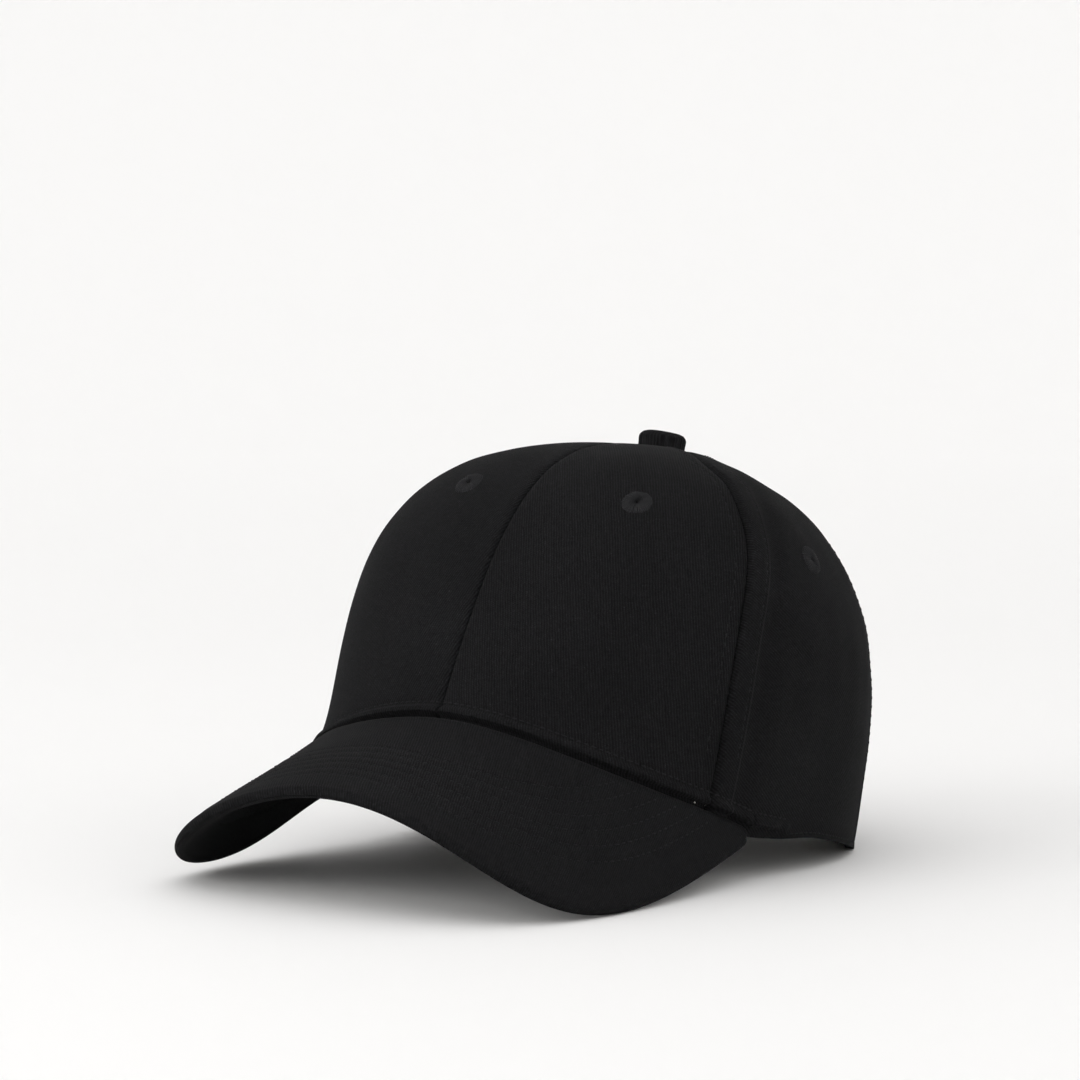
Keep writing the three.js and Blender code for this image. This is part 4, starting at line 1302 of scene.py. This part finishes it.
def binding():
    """The tape sewn inside the edge of the back opening."""
    turn = np.linspace(0.03, math.pi - 0.03, 180)[:, None]
    outside = np.linspace(0.1, BINDING_WIDTH, 13)[None, :]
    bearing, t = opening_line(turn, outside)
    swell = 0.3 * np.sin(math.pi * outside / BINDING_WIDTH)
    outer = place(crown_point(bearing, t, TAPE[0] - 0.1))
    inner = place(crown_point(bearing, t, TAPE[1] + swell))
    weave = np.stack(np.broadcast_arrays(turn * 52, outside), -1) * UV_SCALE
    made = closed_sheet("binding_tape", outer, inner, weave)
    settle(made, "crown", "tape", TAPE_CLOTH, "opening_binding")
    rows = [wall_row(bearing[:, k], t[:, k], TAPE[1] + swell[0, k]) for k in (2, 10)]
    sewn = sew("binding_stitches", rows, HEM_STITCH, 0.6)
    declare(outer)


# ==== strap and buckle
def strap():
    outer, inner, weave = band(
        "strap", STRAP_BEARING, STRAP_SPAN, STRAP, (300, 40), foot=np.zeros_like)
    weave = turn_weave(weave[..., 0] / UV_SCALE, weave[..., 1] / UV_SCALE, STRAP_RIBS)
    made = closed_sheet("strap_cloth", outer, inner, weave)
    settle(made, "strap", "twill", STRAP_TWILL, "strap")
    turns = np.linspace(STRAP_BEARING[0] + 1.2, STRAP_BEARING[1] - 1.2, 500)
    rows = []
    for height in (STRAP_SPAN[0] + STRAP_ROW, STRAP_SPAN[1] - STRAP_ROW):
        rows.append(band_row(turns, height, STRAP[0], 1))
        rows.append(band_row(turns, height, STRAP[1]))
    sewn = sew("strap_stitches", rows, 2.8, body="strap", radius=0.2, rise=0.08)
    declare(outer)


def buckle_tab():
    """The tab comes out from under the panel, passes behind the buckle's bar and folds round it."""
    folded = np.array([
        [220, 2.25], [216, 2.25], [212, 2.25], [208, 2.25], [205.6, 2.25], [204.3, 2.2], [203.55, 1.9],
        [203.3, 1.25], [203.45, 0.6], [204.1, 0.22], [205, 0.2], [206.2, 0.25],
    ])
    knots = np.linspace(0, 1, len(folded))
    fine = np.linspace(0, 1, 130)
    line = np.stack([smooth_curve(fine, knots, folded[:, k]) for k in range(2)], -1)
    arc = line[:, 0] * DEG * HALF_WIDTH
    along = unit(np.stack([np.gradient(arc), np.gradient(line[:, 1])], -1))
    sideways = np.stack([-along[:, 1], along[:, 0]], -1) * TAB_HALF
    height = np.linspace(*TAB_SPAN, 24)[None, :]
    faces = []
    for sign in (1, -1):
        bearing = (arc + sign * sideways[:, 0]) / (DEG * HALF_WIDTH)
        depth = line[:, 1] + sign * sideways[:, 1]
        faces.append(place(band_point(bearing[:, None], height, depth[:, None])))
    weave = turn_weave(arc[:, None], height, STRAP_RIBS)
    made = closed_sheet("tab_cloth", faces[0], faces[1], weave)
    settle(made, "crown", "twill", STRAP_TWILL, "buckle_tab")
    declare(faces[0])


def smooth_curve(x, knots, values):
    """A cubic through evenly spaced knots."""
    slopes = np.gradient(values, knots)
    cell = np.clip(np.searchsorted(knots, x) - 1, 0, len(knots) - 2)
    width = knots[cell + 1] - knots[cell]
    s = (x - knots[cell]) / width
    start = (1 + 2 * s) * (1 - s) ** 2 * values[cell] + s * (1 - s) ** 2 * width * slopes[cell]
    stop = s * s * (3 - 2 * s) * values[cell + 1] + s * s * (s - 1) * width * slopes[cell + 1]
    return start + stop


def cube_grid(cells):
    """Points and quads of a cube from -1 to 1, each side cut into cells x cells."""
    step = np.linspace(-1, 1, cells + 1)
    points, quads = [], []
    for axis in range(3):
        for end in (-1, 1):
            one, other = np.meshgrid(step, step, indexing="ij")
            side = np.empty((cells + 1, cells + 1, 3))
            side[..., axis] = end
            side[..., (axis + 1) % 3] = one
            side[..., (axis + 2) % 3] = other
            number = np.arange(side[..., 0].size).reshape(cells + 1, -1) + sum(map(len, points))
            face = [number[:-1, :-1], number[1:, :-1], number[1:, 1:], number[:-1, 1:]]
            quads.append(np.stack(face if end > 0 else face[::-1], -1).reshape(-1, 4))
            points.append(side.reshape(-1, 3))
    points, quads = np.concatenate(points), np.concatenate(quads)
    _, first, where = np.unique(np.round(points, 6), axis=0, return_index=True, return_inverse=True)
    return points[first], where.ravel()[quads]


def rounded_block(bearings, heights, depths, radius):
    """Points, in the crown's frame, and quads of a block on the wall with rounded edges."""
    points, quads = cube_grid(12)
    spans = np.array([
        (bearings[1] - bearings[0]) * DEG * HALF_WIDTH,
        heights[1] - heights[0],
        depths[1] - depths[0],
    ])
    half = spans / 2
    core = half - radius
    warped = np.sign(points) * (1 - (1 - np.abs(points)) ** 1.6)
    surface = warped * half
    nearest = np.clip(surface, -core, core)
    rounded = nearest + radius * unit(surface - nearest + 1e-9)
    share = rounded / spans + 0.5
    bearing = lerp(*bearings, share[:, 0])
    return band_point(bearing, lerp(*heights, share[:, 1]), lerp(*depths, share[:, 2])), quads[:, ::-1]


def rod(height_low, height_high, radius):
    """Points and faces of a round rod at the pin's place."""
    low = band_point(PIN_BEARING, BUCKLE_SPAN[0], PIN_DEPTH)
    high = band_point(PIN_BEARING, BUCKLE_SPAN[1], PIN_DEPTH)
    along = unit(high - low)
    side = unit(np.cross(along, [1.0, 0, 0]))
    other = np.cross(along, side)
    angle = np.linspace(0, 2 * math.pi, 32, endpoint=False)[None, :, None]
    far = np.array([0, 0.12, 0.3, 0.5, 0.7, 0.88, 1])[:, None, None]
    bevel = 1 - 0.25 * (np.abs(2 * far - 1) > 0.99)
    spot = low + along * (lerp(height_low, height_high, far) - BUCKLE_SPAN[0])
    points = spot + radius * bevel * (np.cos(angle) * side + np.sin(angle) * other)
    number = numbered(*points.shape[:2])
    return points.reshape(-1, 3), ring_quads(number), np.stack([number[0, ::-1], number[-1]])


def joined(name, parts):
    """One object from several (points, faces...) parts, in the crown's frame."""
    points, faces, count = [], [], 0
    for part in parts:
        faces += [f + count for f in part[1:]]
        points.append(part[0])
        count += len(part[0])
    return mesh_object(name, place(np.concatenate(points)), faces)


def buckle():
    low, high = BUCKLE_SPAN
    inside = (low + 0.5 * BUCKLE_WALL, high - 0.5 * BUCKLE_WALL)
    made = joined("buckle_body", [
        rounded_block(BUCKLE_BEARING, (low, low + BUCKLE_WALL), BUCKLE_DEPTH, 0.3),
        rounded_block(BUCKLE_BEARING, (high - BUCKLE_WALL, high), BUCKLE_DEPTH, 0.3),
        rounded_block((BUCKLE_BEARING[0], PLATE_END), inside, PLATE_DEPTH, 0.25),
        rounded_block(BAR_BEARING, inside, BAR_DEPTH, 0.3),
    ])
    settle(made, "crown", "metal", METAL, "buckle_frame")
    pin = joined("buckle_pin_rod", [rod(low - 0.8, high + 0.8, PIN_RADIUS)])
    settle(pin, "crown", "metal", METAL, "buckle_pin")
    heights = (low + BUCKLE_WALL + 0.4, high - BUCKLE_WALL - 0.4)
    lever = joined("lever_plate", [
        rounded_block((PIN_BEARING + 0.2, LEVER_END), heights, BAR_DEPTH, 0.3),
        rod(*heights, KNUCKLE),
    ])
    settle(lever, "lever", "metal", METAL, "buckle_lever")


# ==== stage, lights and camera, in metres
CAMERA_AZIMUTH = 35.82
CAMERA_FALL = 4.64
CAMERA_PLACE = (0.8857, -1.2352, 0.2357)
LENS = 146.05
LIGHT_AIM = (0, 0, 0.07)
FLOOR_RADIUS = 2.3
BOWL_RADIUS = 2.2
WALL_HEIGHT = 4.5


def stage():
    """A pale round floor that curves up into a wall all round, with painted shade darkening its middle."""
    around = np.linspace(0, 2 * math.pi, 96, endpoint=False)[:, None]
    bend = np.linspace(0, math.pi / 2, 24)[1:]
    radius = np.concatenate([[0.02, 0.5, 1.2, FLOOR_RADIUS], FLOOR_RADIUS + BOWL_RADIUS * np.sin(bend)])
    height = np.concatenate([[0, 0, 0, 0], BOWL_RADIUS * (1 - np.cos(bend))])
    radius = np.append(radius, radius[-1])
    height = np.append(height, WALL_HEIGHT)
    points = np.stack(np.broadcast_arrays(
        radius * np.cos(around), radius * np.sin(around), height), -1)
    number = numbered(*points.shape[:2]).T
    made = mesh_object("studio_floor", points, [ring_quads(number), number[None, 0]])
    nodes = Nodes("floor_painted_shade")
    far = nodes.tree.nodes.new("ShaderNodeVectorMath")
    far.operation = "LENGTH"
    nodes.put(far.inputs[0], nodes.place())
    share = nodes.math("MULTIPLY", far.outputs["Value"], 1 / FLOOR_RADIUS)
    # Painted shade: the floor is painted darker near its middle, where the lights make it brightest, and
    # paler towards the wall.
    colour = nodes.ramp(share, [(0.35, (0.865, 0.86, 0.85)), (1.0, (0.94, 0.935, 0.925))])
    made.data.materials.append(nodes.finish(colour, 0.75, specular=0.2))


def softbox(name, power, size, place_at):
    """A soft rectangular light that faces the cap."""
    data = bpy.data.lights.new(name, "AREA")
    data.shape = "RECTANGLE"
    data.size, data.size_y = size
    data.energy = power
    lamp = bpy.data.objects.new(name, data)
    bpy.context.scene.collection.objects.link(lamp)
    lamp.location = place_at
    aim = Vector(LIGHT_AIM) - Vector(place_at)
    lamp.rotation_euler = aim.to_track_quat("-Z", "Y").to_euler()


def lights():
    softbox("overhead", 1.5, (2.0, 2.0), (0.3, -0.7, 2.4))
    softbox("front_key", 18, (1.8, 1.3), (-0.9, -2.0, 0.95))
    softbox("side_window", 2.2, (1.6, 1.4), (2.1, 0.2, 1.0))
    world = bpy.data.worlds.new("studio_air")
    world.use_nodes = True
    world.node_tree.nodes["Background"].inputs[0].default_value = (0.99, 0.99, 1, 1)
    world.node_tree.nodes["Background"].inputs[1].default_value = 1.1
    bpy.context.scene.world = world


def camera():
    data = bpy.data.cameras.new("camera")
    data.lens = LENS
    data.sensor_width = 36
    made = bpy.data.objects.new("camera", data)
    made.location = CAMERA_PLACE
    made.rotation_euler = ((90 - CAMERA_FALL) * DEG, 0, CAMERA_AZIMUTH * DEG)
    bpy.context.scene.collection.objects.link(made)
    bpy.context.scene.camera = made


# ==== assembly
camera()
lights()
stage()
crown_panels()
crown_stitches()
for eyelet_name, eyelet_place in EYELETS.items():
    eyelet(eyelet_name, *eyelet_place)
button()
visor()
for side_name, side_sign in (("left", 1), ("right", -1)):
    buckram(side_name, side_sign)
    tape(f"seam_tape_front_{side_name}", side_sign * FRONT_SEAM, FRONT_TAPE, FRONT_TAPE_SPARE)
    tape(f"seam_tape_rear_{side_name}", side_sign * REAR_SEAM, TAPE, TAPE_SPARE)
tape("seam_tape_centre_front", 0, FRONT_TAPE, FRONT_TAPE_SPARE)
tape("seam_tape_centre_back", 180, TAPE, TAPE_SPARE, BACK_TAPE_START)
sweatband()
care_label()
binding()
strap()
buckle_tab()
buckle()
for hidden in ("top_button_shell", "top_button_washer"):
    frame["nodes"][hidden].data.materials.clear()
    frame["nodes"][hidden].data.materials.append(METAL)

bpy.context.scene.view_settings.view_transform = "Standard"
bpy.context.view_layer.update()
